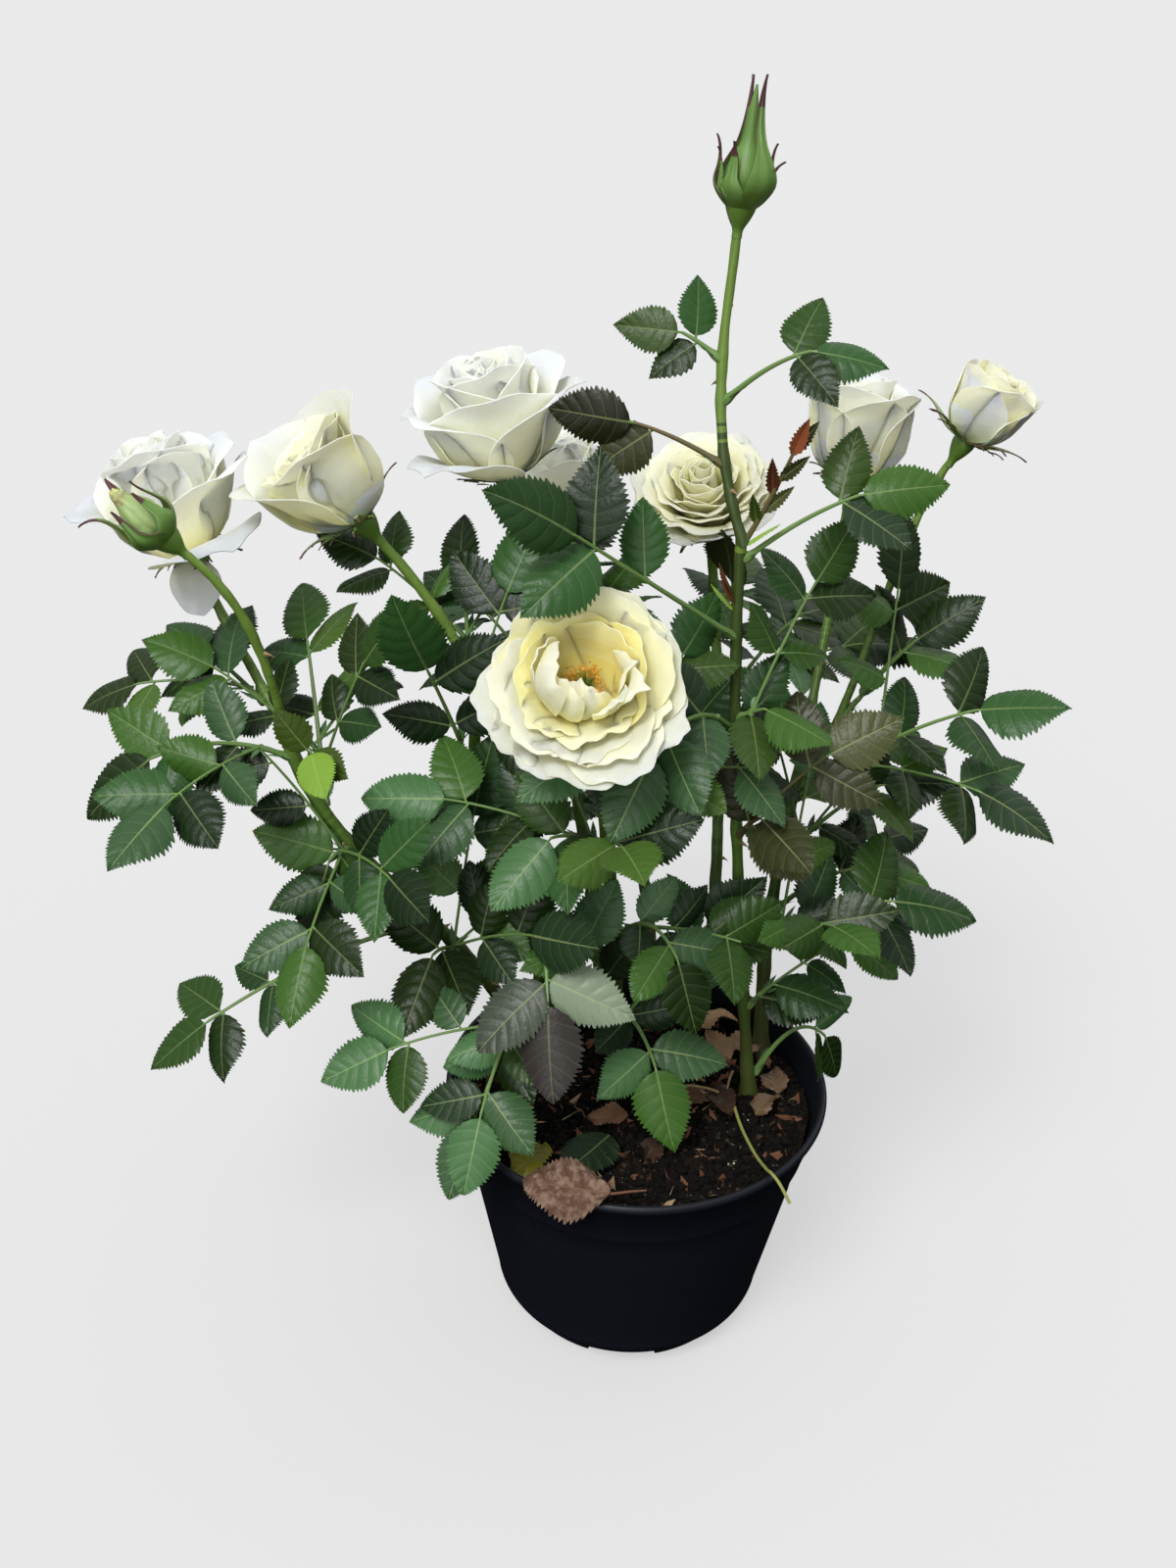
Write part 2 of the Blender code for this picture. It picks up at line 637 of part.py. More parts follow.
def leaflet(base, direction, normal, length, root=0.0, swell=0.0):
    """A folded, drooping leaflet of eight faces."""
    side = direction.cross(normal)

    def place(along, across):
        bend = LEAF_FOLD * abs(across) - LEAF_DROOP * max(along, 0) ** 2
        return base + (direction * along + side * across + normal * bend) * length

    grow = swell / length
    half = LEAF_HALF_WIDTH + grow
    rim = [place(root or -LEAF_SINK / length, 0), place(LEAF_WIDEST, half),
           place(1 + grow, 0), place(LEAF_WIDEST, -half)]
    middle = place(LEAF_WIDEST - 0.05, 0)
    return lens(rim, middle, normal * (LEAF_THICKNESS * length / 2 + swell))


def bowed(start, reach, arch, t):
    """A line from start to reach that rises by arch halfway."""
    return start.lerp(reach, t) + UP * arch * 4 * t * (1 - t)


def facing_of(spray, point):
    """The way leaf blades face: up, and out from the middle of the bush."""
    if spray.facing:
        return Vector(spray.facing)
    outward = (point.xy - HEART.xy).normalized().to_3d()
    return outward * 0.5 + LIGHT


class Shoot:
    """The growth of one spray: its twigs, its leaflets and the room that is left for more."""

    def __init__(self, spray, occupied):
        self.spray = spray
        self.occupied = occupied
        self.rng = random.Random(spray.name)
        self.pieces = []
        self.blades = Occupied()

    def add_leaflet(self, base, direction, facing, length):
        """Place a leaflet, twisted one way or the other if something is in the way."""
        for twist in TWISTS:
            turned_facing = Matrix.Rotation(twist, 3, direction) @ facing
            normal = (turned_facing - direction * turned_facing.dot(direction)).normalized()
            room = leaflet(base, direction, normal, length, swell=LEAF_CLEARANCE)
            blade = leaflet(base, direction, normal, length, BLADE_ROOT, LEAF_CLEARANCE)
            if self.occupied.touches(room) or self.blades.touches(blade):
                continue
            self.pieces.append(leaflet(base, direction, normal, length))
            self.blades.add(leaflet(base, direction, normal, length, BLADE_ROOT))
            return

    def add_compound(self, start, reach, arch, radii, length, facing, foot_normal=None):
        """A twig or leaf stalk with one leaflet on its end and pairs behind it."""
        span = (reach - start).length
        end = max(LEAST_STALK, 1 - length / span)
        steps = 3
        points = [bowed(start, reach, arch, end * i / steps) for i in range(steps + 1)]
        widths = [radii[0] + (radii[1] - radii[0]) * i / steps for i in range(steps + 1)]
        stalk = tube(points, widths, TWIG_SIDES, foot_normal or points[1] - points[0])
        self.pieces.append(stalk)
        self.add_leaflet(points[-1], (reach - points[-1]).normalized(), facing, length)
        for pair in range(self.spray.pairs):
            back = length * (PAIR_FIRST + PAIR_STEP * pair)
            t = end - back / span
            if t < 0.2 * end:
                break
            middle = bowed(start, reach, arch, t)
            ahead = (bowed(start, reach, arch, t + AHEAD) - middle).normalized()
            across = ahead.cross(facing).normalized()
            for sign in (-1, 1):
                base = middle + ahead * PAIR_STAGGER * sign / 2
                spread = LEAF_SPREAD + self.rng.uniform(-SPREAD_JITTER, SPREAD_JITTER)
                heading = ahead * math.cos(spread) + across * sign * math.sin(spread)
                size = length * (FIRST_PAIR_SIZE - PAIR_SHRINK * pair) * self.rng.uniform(0.92, 1.05)
                self.add_leaflet(base, heading.normalized(), facing, size)
        return stalk

    def stalk_room(self, start, reach, arch, first, radius):
        """The room that a twig takes, less the part next to its foot."""
        steps = 5
        shares = [first + (0.96 - first) * i / steps for i in range(steps + 1)]
        points = [bowed(start, reach, arch, share) for share in shares]
        return tube(points, [radius + GAP] * len(points), TWIG_SIDES, points[1] - points[0])

    def side_reach(self, base, ahead, azimuth, length):
        """Where a leaf from the side of the twig would end."""
        side = ahead.orthogonal().normalized()
        radial = Matrix.Rotation(azimuth, 3, ahead) @ side
        heading = ahead * 0.5 + radial * 0.8 + UP * 0.22
        return base + heading.normalized() * length * (1.6 + 0.5 * self.spray.pairs)

    def add_side_leaf(self, start, reach, arch, share, turn):
        """A compound leaf off the twig, at the first azimuth of the golden-angle rule that is free."""
        base = bowed(start, reach, arch, share)
        ahead = (bowed(start, reach, arch, share + AHEAD) - base).normalized()
        length = self.spray.leaflet * self.rng.uniform(0.85, 1.0)
        for attempt in range(SIDE_ATTEMPTS):
            azimuth = (turn + attempt) * GOLDEN_ANGLE + self.rng.uniform(-0.3, 0.3)
            goal = self.side_reach(base, ahead, azimuth, length)
            room = self.stalk_room(base, goal, SIDE_ARCH, 0, RACHIS_RADIUS)
            beyond = self.stalk_room(base, goal, SIDE_ARCH, 0.1, RACHIS_RADIUS)
            if not self.occupied.touches(room) and not self.blades.touches(beyond):
                radii = (RACHIS_RADIUS, RACHIS_RADIUS * 0.8)
                self.add_compound(base, goal, SIDE_ARCH, radii, length, facing_of(self.spray, goal))
                return

    def free_arch(self, start, reach):
        """The arch nearest to the wanted one whose twig passes everything else."""
        for change in ARCH_CHANGES:
            arch = self.spray.arch + change
            room = self.stalk_room(start, reach, arch, 0.05, SPRAY_STEM_RADIUS)
            if not self.occupied.touches(room):
                return arch
        return self.spray.arch

    def grow(self, paths):
        spray = self.spray
        reach = Vector(spray.reach)
        host = paths[spray.host]
        heading = reach - host.at(spray.at)[0] + UP * spray.arch * 2
        start, outward = start_on(host, spray.at, heading)
        arch = self.free_arch(start, reach)
        facing = facing_of(spray, reach)
        radii = (SPRAY_STEM_RADIUS, RACHIS_RADIUS)
        self.add_compound(start, reach, arch, radii, spray.leaflet, facing, outward)
        free = 1 - spray.leaflet * (1.5 + PAIR_STEP) / (reach - start).length
        for k in range(spray.leaves - 1):
            share = max(TWIG_FOOT, free) * (1 - 0.75 * k / max(1, spray.leaves - 1))
            self.add_side_leaf(start, reach, arch, share, k)
        return self.pieces


def make_sprays(paths, occupied):
    for spray in SPRAYS:
        pieces = Shoot(spray, occupied).grow(paths)
        finish(fuse(spray.name, pieces), "leaf")
        occupied.add(*pieces)


# ---------------------------------------------------------------- the whole plant

def main():
    for obj in list(bpy.data.objects):
        bpy.data.objects.remove(obj)
    root = bpy.data.objects.new("rose_in_pot", None)
    bpy.context.scene.collection.objects.link(root)
    occupied = Occupied()
    make_pot()
    occupied.add(make_soil())
    paths = make_limbs(occupied)
    make_blooms(paths, occupied)
    make_sprays(paths, occupied)


main()
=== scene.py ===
"""Looks of a potted white patio rose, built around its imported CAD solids.

Sizes and places are in millimetres, as in the part's source, and become metres when a mesh is
made. The canes, blooms and sprays stand where the source's rule of growth puts them, and that
rule is written again here. Each piece replaces the CAD node whose place it takes.
"""
import math
import random
from typing import NamedTuple

import bpy
import numpy as np
from mathutils import Matrix, Vector, noise
from mathutils.bvhtree import BVHTree


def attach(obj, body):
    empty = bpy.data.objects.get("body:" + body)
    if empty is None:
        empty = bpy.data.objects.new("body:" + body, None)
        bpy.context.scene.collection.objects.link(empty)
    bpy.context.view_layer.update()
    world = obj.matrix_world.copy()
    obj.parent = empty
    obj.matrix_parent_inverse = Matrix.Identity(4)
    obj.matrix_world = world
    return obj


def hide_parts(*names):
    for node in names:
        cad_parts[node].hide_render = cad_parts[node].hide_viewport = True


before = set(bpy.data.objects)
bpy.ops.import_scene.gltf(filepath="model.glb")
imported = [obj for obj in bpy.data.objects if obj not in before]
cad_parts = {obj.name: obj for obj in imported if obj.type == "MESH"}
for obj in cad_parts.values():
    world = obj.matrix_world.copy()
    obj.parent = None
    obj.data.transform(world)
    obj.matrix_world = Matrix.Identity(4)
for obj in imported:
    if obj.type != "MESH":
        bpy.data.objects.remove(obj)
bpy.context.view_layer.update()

MM = 0.001
GAP = 0.3
UP = Vector((0, 0, 1))
HEART = Vector((-20, 35, 200))      # the middle of the foliage
LIGHT = Vector((0, -0.45, 0.9))     # leaf blades turn to it
GOLDEN_ANGLE = math.radians(137.508)
SOIL_LEVEL = 82.0

# The source's rule of growth.
LIMB_RINGS = 7
FLARE = 0.45
FLARE_LENGTH = 9.0
LEAF_WIDEST = 0.42
LEAF_HALF_WIDTH = 0.35
LEAF_THICKNESS = 0.04
LEAF_FOLD = 0.28
LEAF_DROOP = 0.16
LEAF_SINK = 0.25
PAIR_STAGGER = 0.9
LEAF_SPREAD = math.radians(58)
LEAF_CLEARANCE = 0.45
BLADE_ROOT = 0.12                       # share of a leaflet that its neighbours may touch
TWISTS = (0, 0.3, -0.3, 0.6, -0.6)      # radians, tried in turn
PAIR_FIRST = 0.22
PAIR_STEP = 0.72
PAIR_SHRINK = 0.16
SIDE_ARCH = 5.0
SIDE_ATTEMPTS = 8
ARCH_CHANGES = (0, 6, -6, 12, -12, 18, -18, 26, -26)
TWIG_FOOT = 0.12                        # least share of a twig where its first side leaf grows
LEAST_STALK = 0.25                      # least share of the way to its tip that a leaf stalk takes
SPREAD_JITTER = 0.15                    # radians
FIRST_PAIR_SIZE = 0.92                  # of the leaflet on the end
AHEAD = 0.02                            # share of a twig over which its direction is taken
SPRAY_STEM_RADIUS = 1.1
RACHIS_RADIUS = 0.65
TWIG_SIDES = 3


class Limb(NamedTuple):
    """A tapering cane or stalk along a cubic curve, from the soil or from another limb."""
    name: str
    host: str
    foot: tuple       # (x, y) on the soil, or (fraction,) along the host
    leave: tuple      # direction and pull of the curve at the foot
    tip: tuple
    arrive: tuple     # direction and pull of the curve at the tip
    radii: tuple      # at the foot and at the tip


LIMBS = (
    Limb("tall_cane", "", (39, 7), (-8, -3, 70), (22, 12, 283), (0, 2, 60), (2.3, 1.8)),
    Limb("tall_shoot", "tall_cane", (1.0,), (-12, 6, 30), (15, 28, 367), (2, 2, 30), (1.8, 1.5)),
    Limb("right_cane", "", (44, 31), (-3, 4, 40), (50, 48, 196), (6, 8, 40), (2.7, 2.0)),
    Limb("right_inner_stalk", "right_cane", (1.0,), (3, 10, 25), (60, 90, 267), (1, 1, 28), (1.8, 1.5)),
    Limb("right_outer_stalk", "right_cane", (0.9,), (14, 2, 20), (90, 74, 289), (13, -4, 20), (1.6, 1.4)),
    Limb("left_cane", "", (-39, 20), (-16, -14, 66), (-116, 8, 212), (-9, 0, 49), (2.9, 2.1)),
    Limb("left_bud_stalk", "left_cane", (1.0,), (-2, -6, 24), (-139, -6, 277), (-18, -2, 15), (1.8, 1.4)),
    Limb("left_rose_stalk", "left_cane", (0.9,), (-10, 16, 14), (-149, 46, 248), (-4, -3, 18), (1.9, 1.7)),
    Limb("mid_left_cane", "", (-26, 31), (-14, 2, 50), (-59, 32, 206), (3, 0, 36), (2.8, 2.2)),
    Limb("mid_left_stalk", "mid_left_cane", (1.0,), (4, 0, 20), (-90, 36, 268), (-14, -4, 18), (2.1, 1.8)),
    Limb("back_left_cane", "", (-14, 46), (-4, 8, 60), (-50, 62, 274), (-9, -4, 38), (2.6, 1.8)),
    Limb("back_cane", "", (4, 52), (0, 16, 60), (-33, 112, 243), (-5, 0, 50), (2.6, 1.8)),
    Limb("back_right_cane", "", (22, 47), (8, 12, 60), (15, 98, 250), (-3, -28, 22), (2.6, 1.8)),
    Limb("front_cane", "", (-8, 12), (2, -6, 60), (-20, -22, 244), (0, -26, 14), (2.8, 2.0)),
    Limb("front_left_cane", "", (-30, 4), (-4, -4, 36), (-32, -14, 172), (3, -4, 30), (2.3, 1.5)),
)


class Spray(NamedTuple):
    """A leafy twig from a limb to the tip of its last leaflet, with more leaves along it."""
    name: str
    host: str
    at: float         # fraction along the host
    reach: tuple
    leaves: int = 2
    leaflet: float = 28.0
    arch: float = 10.0
    facing: tuple = ()
    pairs: int = 2


SPRAYS = (
    Spray("top_left_spray", "tall_shoot", 0.60, (-18, 24, 341), 1, 20, 4, (0, -0.9, 0.5), 1),
    Spray("top_right_spray", "tall_shoot", 0.46, (58, 12, 337), 1, 22, 8, (0, -0.6, 0.8), 1),
    Spray("bronze_spray", "tall_shoot", 0.25, (-35, 14, 318), 1, 25, 4, (0, -1, 0.1), 1),
    Spray("front_trio_spray", "tall_cane", 0.84, (-44, -38, 313), 1, 31, 0, (-0.1, -0.8, 0.6)),
    Spray("right_upper_spray", "tall_cane", 0.97, (78, 10, 304), 1, 26, 6, (0, -0.8, 0.6), 1),
    Spray("mottled_spray", "front_left_cane", 0.92, (-25, -63, 119), 1, 31, 10, (0, -0.9, 0.4)),
    Spray("under_bloom_spray", "tall_cane", 0.68, (-15, -52, 204), 2, 28, 22, (0, -0.8, 0.6)),
    Spray("brown_spray", "tall_cane", 0.50, (46, -28, 198), 2, 28, 10, (0, -0.8, 0.6), 1),
    Spray("right_near_spray", "tall_cane", 0.70, (52, -14, 232), 2, 26, 6),
    Spray("right_high_spray", "right_outer_stalk", 0.26, (99, 50, 251), 2, 26, 5, (), 1),
    Spray("right_far_spray", "right_cane", 0.86, (124, 20, 231), 3, 29, 10),
    Spray("right_mid_spray", "right_cane", 0.68, (96, 34, 195), 3, 26, 10),
    Spray("right_mid_low_spray", "right_cane", 0.50, (93, 28, 159), 2, 25, 10),
    Spray("right_low_spray", "tall_cane", 0.30, (107, 6, 163), 3, 29, 8),
    Spray("right_low_inner_spray", "tall_cane", 0.18, (63, -8, 134), 2, 26, 10),
    Spray("rim_right_spray", "tall_cane", 0.04, (80, 10, 66), 1, 20, 30, (0.6, -0.7, 0.3), 1),
    Spray("left_far_spray", "left_cane", 0.95, (-181, -18, 190), 2, 29, 14, (-0.2, -0.7, 0.6)),
    Spray("left_back_spray", "left_rose_stalk", 0.35, (-168, 58, 227), 2, 25, 8),
    Spray("left_young_spray", "left_cane", 0.88, (-99, -26, 212), 1, 19, 12, (0, -0.9, 0.4), 1),
    Spray("left_inner_spray", "left_cane", 0.80, (-122, 64, 238), 4, 27, 8),
    Spray("left_centre_spray", "mid_left_cane", 0.82, (-76, -12, 262), 3, 31, 4, (-0.1, -0.8, 0.6)),
    Spray("left_top_spray", "mid_left_stalk", 0.35, (-68, 58, 265), 3, 25, 6),
    Spray("left_hang_spray", "left_cane", 0.68, (-111, -22, 142), 4, 29, 12, (-0.2, -0.8, 0.5)),
    Spray("left_droop_spray", "left_cane", 0.42, (-162, -30, 104), 1, 25, 8),
    Spray("left_low_spray", "left_cane", 0.32, (-76, -38, 127), 4, 29, 14, (-0.1, -0.8, 0.5)),
    Spray("rim_left_spray", "front_left_cane", 0.45, (-54, -72, 80), 3, 26, 22),
    Spray("front_low_spray", "front_cane", 0.16, (16, -47, 87), 3, 28, 16),
    Spray("front_mid_spray", "front_cane", 0.32, (24, -42, 122), 3, 25, 14),
    Spray("centre_right_spray", "front_cane", 0.66, (20, -30, 218), 3, 27, 10),
    Spray("centre_dark_spray", "front_cane", 0.50, (-50, -36, 175), 4, 29, 16),
    Spray("back_left_spray", "back_left_cane", 0.52, (-82, 124, 214), 5, 30, 12),
    Spray("back_mid_spray", "back_cane", 0.30, (-14, 138, 152), 6, 30, 12),
    Spray("back_right_spray", "back_right_cane", 0.55, (72, 124, 220), 5, 30, 12),
)


# ---------------------------------------------------------------- finishes

class Look(NamedTuple):
    """A plain colour, with relief and roughness from noise."""
    colour: tuple
    roughness: float = 0.5
    relief: float = 0.0       # millimetres
    grain: float = 2.0        # size of the noise, in millimetres
    translucent: float = 0.0  # weight of the light that scatters inside
    gloss: float = 0.5        # strength of its reflections
    fleck: tuple = ()         # a second colour that the noise brings in


FLECKS = (0.42, 0.62)     # between these values of the noise, the colour turns to the second one
ROUGHNESS_SPREAD = 0.10   # how much the noise makes a surface rougher and smoother
SCATTER_RADIUS = (1.0, 0.9, 0.6)
SCATTER_DEPTH = 4.0       # millimetres


# The looks by name: colour, roughness, relief, grain, translucence, gloss and second colour.
LOOKS = {
    "pot": Look((0.0058, 0.0070, 0.0115), 0.42, 0.03, 1.2, 0, 0.28),
    "soil": Look((0.0042, 0.0034, 0.0030), 0.92, 0.5, 1.6, 0, 0.08, (0.014, 0.010, 0.007)),
    "rim_leaf": Look((0.095, 0.048, 0.030), 0.70, 0.45, 2.4, 0, 0.2, (0.205, 0.135, 0.095)),
    "rim_leaf_rib": Look((0.150, 0.085, 0.055), 0.75, 0.10, 2.0, 0, 0.15),
    "clod_dark": Look((0.0050, 0.0042, 0.0036), 0.85, 0.2, 1.0, 0, 0.12),
    "clod_brown": Look((0.040, 0.025, 0.014), 0.85, 0.2, 1.0, 0, 0.15),
    "grit": Look((0.26, 0.25, 0.23), 0.35, 0.2, 0.8),
    "rootlet": Look((0.26, 0.27, 0.07), 0.5, 0.05, 1.0),
    "bark_red": Look((0.14, 0.055, 0.025), 0.8, 0.2, 1.0),
    "bark_tan": Look((0.36, 0.24, 0.14), 0.8, 0.2, 1.0),
    "perlite": Look((0.62, 0.60, 0.52), 0.9, 0.2, 0.8),
    "straw": Look((0.30, 0.27, 0.12), 0.7, 0.1, 1.0),
    "dead_stalk": Look((0.30, 0.20, 0.09), 0.7, 0.1, 1.0),
    "thorn": Look((0.24, 0.16, 0.07), 0.45, 0.02, 1.0),
    "hip": Look((0.11, 0.21, 0.030), 0.42, 0.05, 0.8, 0.1),
    "sepal": Look((0.12, 0.235, 0.045), 0.5, 0.08, 0.7, 0.1),
    "sepal_tip": Look((0.085, 0.030, 0.030), 0.5, 0.05, 0.7),
    "sepal_inside": Look((0.26, 0.37, 0.17), 0.6, 0.03, 0.7, 0.1),
    "stamen": Look((0.85, 0.58, 0.12), 0.5),
    "anther": Look((0.66, 0.34, 0.04), 0.6, 0.05, 0.4),
    "pistil": Look((0.16, 0.30, 0.06), 0.5),
    "twig": Look((0.13, 0.23, 0.06), 0.45, 0.05, 1.5, 0.05),
    "twig_red": Look((0.12, 0.095, 0.035), 0.45, 0.05, 1.5, 0.05),
    "bud_core": Look((0.40, 0.56, 0.19), 0.55, 0.06, 1.1, 0.3),
}

# Leaf colours by kind: the upper face, the lower face and how pale the midrib is.
LEAF_KINDS = {
    "dark": ((0.027, 0.070, 0.010), (0.085, 0.150, 0.045), 0.20),
    "deep": ((0.018, 0.055, 0.013), (0.075, 0.140, 0.050), 0.22),
    # fresh: a lighter green of its own, with its upper face greyed towards blue as a painted sheen.
    "fresh": ((0.042, 0.100, 0.036), (0.110, 0.190, 0.070), 0.32),
    "olive": ((0.040, 0.082, 0.013), (0.105, 0.140, 0.045), 0.22),
    "bronze": ((0.038, 0.044, 0.013), (0.080, 0.050, 0.026), 0.26),
    "mottled": ((0.130, 0.165, 0.110), (0.110, 0.120, 0.085), 0.25),
    "mauve": ((0.095, 0.080, 0.072), (0.110, 0.100, 0.085), 0.15),
    "young": ((0.115, 0.205, 0.022), (0.180, 0.300, 0.050), 0.25),
    "yellow": ((0.480, 0.460, 0.030), (0.450, 0.420, 0.060), 0.15),
    "dead": ((0.120, 0.060, 0.035), (0.150, 0.085, 0.050), 0.10),
    "tan": ((0.380, 0.240, 0.130), (0.420, 0.280, 0.170), 0.10),
    "red": ((0.210, 0.060, 0.026), (0.180, 0.075, 0.030), 0.10),
}
SHADES = (0.34, 0.80, 1.46)
MIDRIB_PALE = (0.42, 0.52, 0.20)
SIDE_VEIN_PALE = 0.22     # of the midrib's paleness
LEAF_ROUGHNESS = 0.33
LEAF_GLOSS = 0.22
# The surface of each part of a leaf: roughness, relief, grain, translucence and gloss.
LEAF_SURFACES = {
    "top": (LEAF_ROUGHNESS, 0.16, 1.2, 0, LEAF_GLOSS),
    "under": (0.62, 0.05, 0.9, 0, LEAF_GLOSS),
    "groove": (LEAF_ROUGHNESS, 0.02, 0.9, 0, LEAF_GLOSS),
    "vein": (0.45, 0.02, 0.9, 0, LEAF_GLOSS),
}
PETAL_STEPS = 12
PETAL_SURFACE = (0.55, 0.28, 3.4, 0.7)      # roughness, relief, grain and translucence
PETAL_DEEP = (0.90, 0.66, 0.06)
PETAL_CREAM = (0.94, 0.90, 0.44)
PETAL_WHITE = (0.955, 0.975, 0.90)
PETAL_GREEN = (0.55, 0.72, 0.18)
CREAM_AT = 0.4            # where a petal's colour is cream, between its yellow foot and white rim
# Cane colours from the brown foot over olive to the fresh green top.
STEM_COLOURS = ((0.065, 0.065, 0.022), (0.062, 0.085, 0.018), (0.055, 0.100, 0.014),
                (0.070, 0.140, 0.018), (0.100, 0.185, 0.026), (0.140, 0.235, 0.036))


def between(a, b, share):
    return a + (b - a) * share


def mixed(a, b, share):
    return tuple(between(p, q, share) for p, q in zip(a, b))


def add_leaf_looks():
    for kind, (top, under, pale) in LEAF_KINDS.items():
        for i, shade in enumerate(SHADES):
            upper = tuple(c * shade for c in top)
            colours = {"top": upper, "under": tuple(c * shade for c in under),
                       "groove": mixed(upper, MIDRIB_PALE, pale * SIDE_VEIN_PALE),
                       "vein": mixed(upper, MIDRIB_PALE, pale)}
            for part, colour in colours.items():
                LOOKS[f"{kind}_{part}_{i}"] = Look(colour, *LEAF_SURFACES[part])


def add_petal_looks():
    """Petal colours from the yellow foot over cream to the white rim, and the green back."""
    for i in range(PETAL_STEPS):
        share = i / (PETAL_STEPS - 1)
        if share < CREAM_AT:
            colour = mixed(PETAL_DEEP, PETAL_CREAM, share / CREAM_AT)
        else:
            colour = mixed(PETAL_CREAM, PETAL_WHITE, (share - CREAM_AT) / (1 - CREAM_AT))
        green = mixed(PETAL_GREEN, colour, 0.55 + 0.45 * share)
        LOOKS[f"petal_{i}"] = Look(colour, *PETAL_SURFACE)
        LOOKS[f"petal_back_{i}"] = Look(green, *PETAL_SURFACE)


def add_stem_looks():
    for i, colour in enumerate(STEM_COLOURS):
        LOOKS[f"stem_{i}"] = Look(colour, 0.42, 0.10, 1.6, 0.05)
    LOOKS["stem_dark"] = Look((0.044, 0.072, 0.013), 0.40, 0.10, 1.6, 0.05)


def set_ramp(node, places, colours):
    """Make a two-colour ramp run from the first place and colour to the second."""
    for stop, place, colour in zip(node.color_ramp.elements, places, colours):
        stop.position = place
        stop.color = (*colour, 1)


def set_shader(shader, look):
    """What is the same all over the surface of a look."""
    shader.inputs["Base Color"].default_value = (*look.colour, 1)
    shader.inputs["Specular IOR Level"].default_value = look.gloss
    if look.translucent:
        shader.inputs["Subsurface Weight"].default_value = look.translucent
        shader.inputs["Subsurface Radius"].default_value = SCATTER_RADIUS
        shader.inputs["Subsurface Scale"].default_value = SCATTER_DEPTH * MM


def material(name):
    """The material of a look, with noise that varies its roughness, its relief and its flecks."""
    if name in bpy.data.materials:
        return bpy.data.materials[name]
    look = LOOKS[name]
    made = bpy.data.materials.new(name)
    made.use_nodes = True
    nodes, links = made.node_tree.nodes, made.node_tree.links
    shader = nodes["Principled BSDF"]
    set_shader(shader, look)
    place = nodes.new("ShaderNodeTexCoord")
    grain = nodes.new("ShaderNodeTexNoise")
    grain.inputs["Scale"].default_value = 1 / (look.grain * MM)
    grain.inputs["Detail"].default_value = 3
    links.new(place.outputs["Object"], grain.inputs["Vector"])
    if look.fleck:
        colours = nodes.new("ShaderNodeValToRGB")
        set_ramp(colours, FLECKS, (look.colour, look.fleck))
        links.new(grain.outputs["Fac"], colours.inputs["Fac"])
        links.new(colours.outputs["Color"], shader.inputs["Base Color"])
    rough = nodes.new("ShaderNodeMapRange")
    rough.inputs["To Min"].default_value = max(0.05, look.roughness - ROUGHNESS_SPREAD)
    rough.inputs["To Max"].default_value = min(1.0, look.roughness + ROUGHNESS_SPREAD)
    links.new(grain.outputs["Fac"], rough.inputs["Value"])
    links.new(rough.outputs["Result"], shader.inputs["Roughness"])
    if look.relief:
        bump = nodes.new("ShaderNodeBump")
        bump.inputs["Distance"].default_value = look.relief * MM
        links.new(grain.outputs["Fac"], bump.inputs["Height"])
        links.new(bump.outputs["Normal"], shader.inputs["Normal"])
    return made


# ---------------------------------------------------------------- shapes and pieces

class Shape:
    """Corners in millimetres, and faces that each wear a look."""

    def __init__(self):
        self.corners = []
        self.faces = []
        self.looks = []

    def add(self, corners, faces, look):
        """Add a mesh whose faces wear one look, or one look each."""
        first = len(self.corners)
        self.corners.extend(corners)
        self.faces.extend([first + corner for corner in face] for face in faces)
        self.looks.extend([look] * len(faces) if isinstance(look, str) else look)


def make_piece(name, shape, slot, *nodes, sharp=50):
    """A piece of the plant that rides on the one body, and replaces CAD nodes if it names some.

    Its faces meet in a crease where they bend by more than sharp degrees.
    """
    mesh = bpy.data.meshes.new(name)
    mesh.from_pydata([(x * MM, y * MM, z * MM) for x, y, z in shape.corners], [], shape.faces)
    names = sorted(set(shape.looks))
    for look in names:
        mesh.materials.append(material(look))
    index = {look: i for i, look in enumerate(names)}
    mesh.polygons.foreach_set("material_index", [index[look] for look in shape.looks])
    mesh.shade_smooth()
    mesh.set_sharp_from_angle(angle=math.radians(sharp))
    obj = bpy.data.objects.new(name, mesh)
    bpy.context.scene.collection.objects.link(obj)
    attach(obj, "root")
    if nodes:
        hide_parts(*nodes)


def square_to(facing, heading):
    """The way nearest to facing that is at a right angle to a heading."""
    return (facing - heading * facing.dot(heading)).normalized()


def add_tube(shape, points, radii, sides, look, relief=None):
    """A closed tube along points.

    look is one name, or a function of the ring's number. relief, if given, is a function that
    says how far the surface stands out at a point of the axis in a direction from it.
    """
    corners, faces, looks = [], [], []
    side = (points[1] - points[0]).orthogonal().normalized()
    last = len(points) - 1
    for i, point in enumerate(points):
        along = (points[min(i + 1, last)] - points[max(i - 1, 0)]).normalized()
        side = square_to(side, along)
        across = along.cross(side)
        for k in range(sides):
            angle = math.tau * k / sides
            out = side * math.cos(angle) + across * math.sin(angle)
            radius = radii[i] + (relief(point, out) if relief else 0)
            corners.append(point + out * radius)
    for i in range(last):
        for k in range(sides):
            after = (k + 1) % sides
            faces.append([i * sides + k, i * sides + after, (i + 1) * sides + after, (i + 1) * sides + k])
            looks.append(look if isinstance(look, str) else look(i))
    faces += [list(reversed(range(sides))), list(range(last * sides, (last + 1) * sides))]
    looks += [looks[0], looks[-1]]
    shape.add(corners, faces, looks)


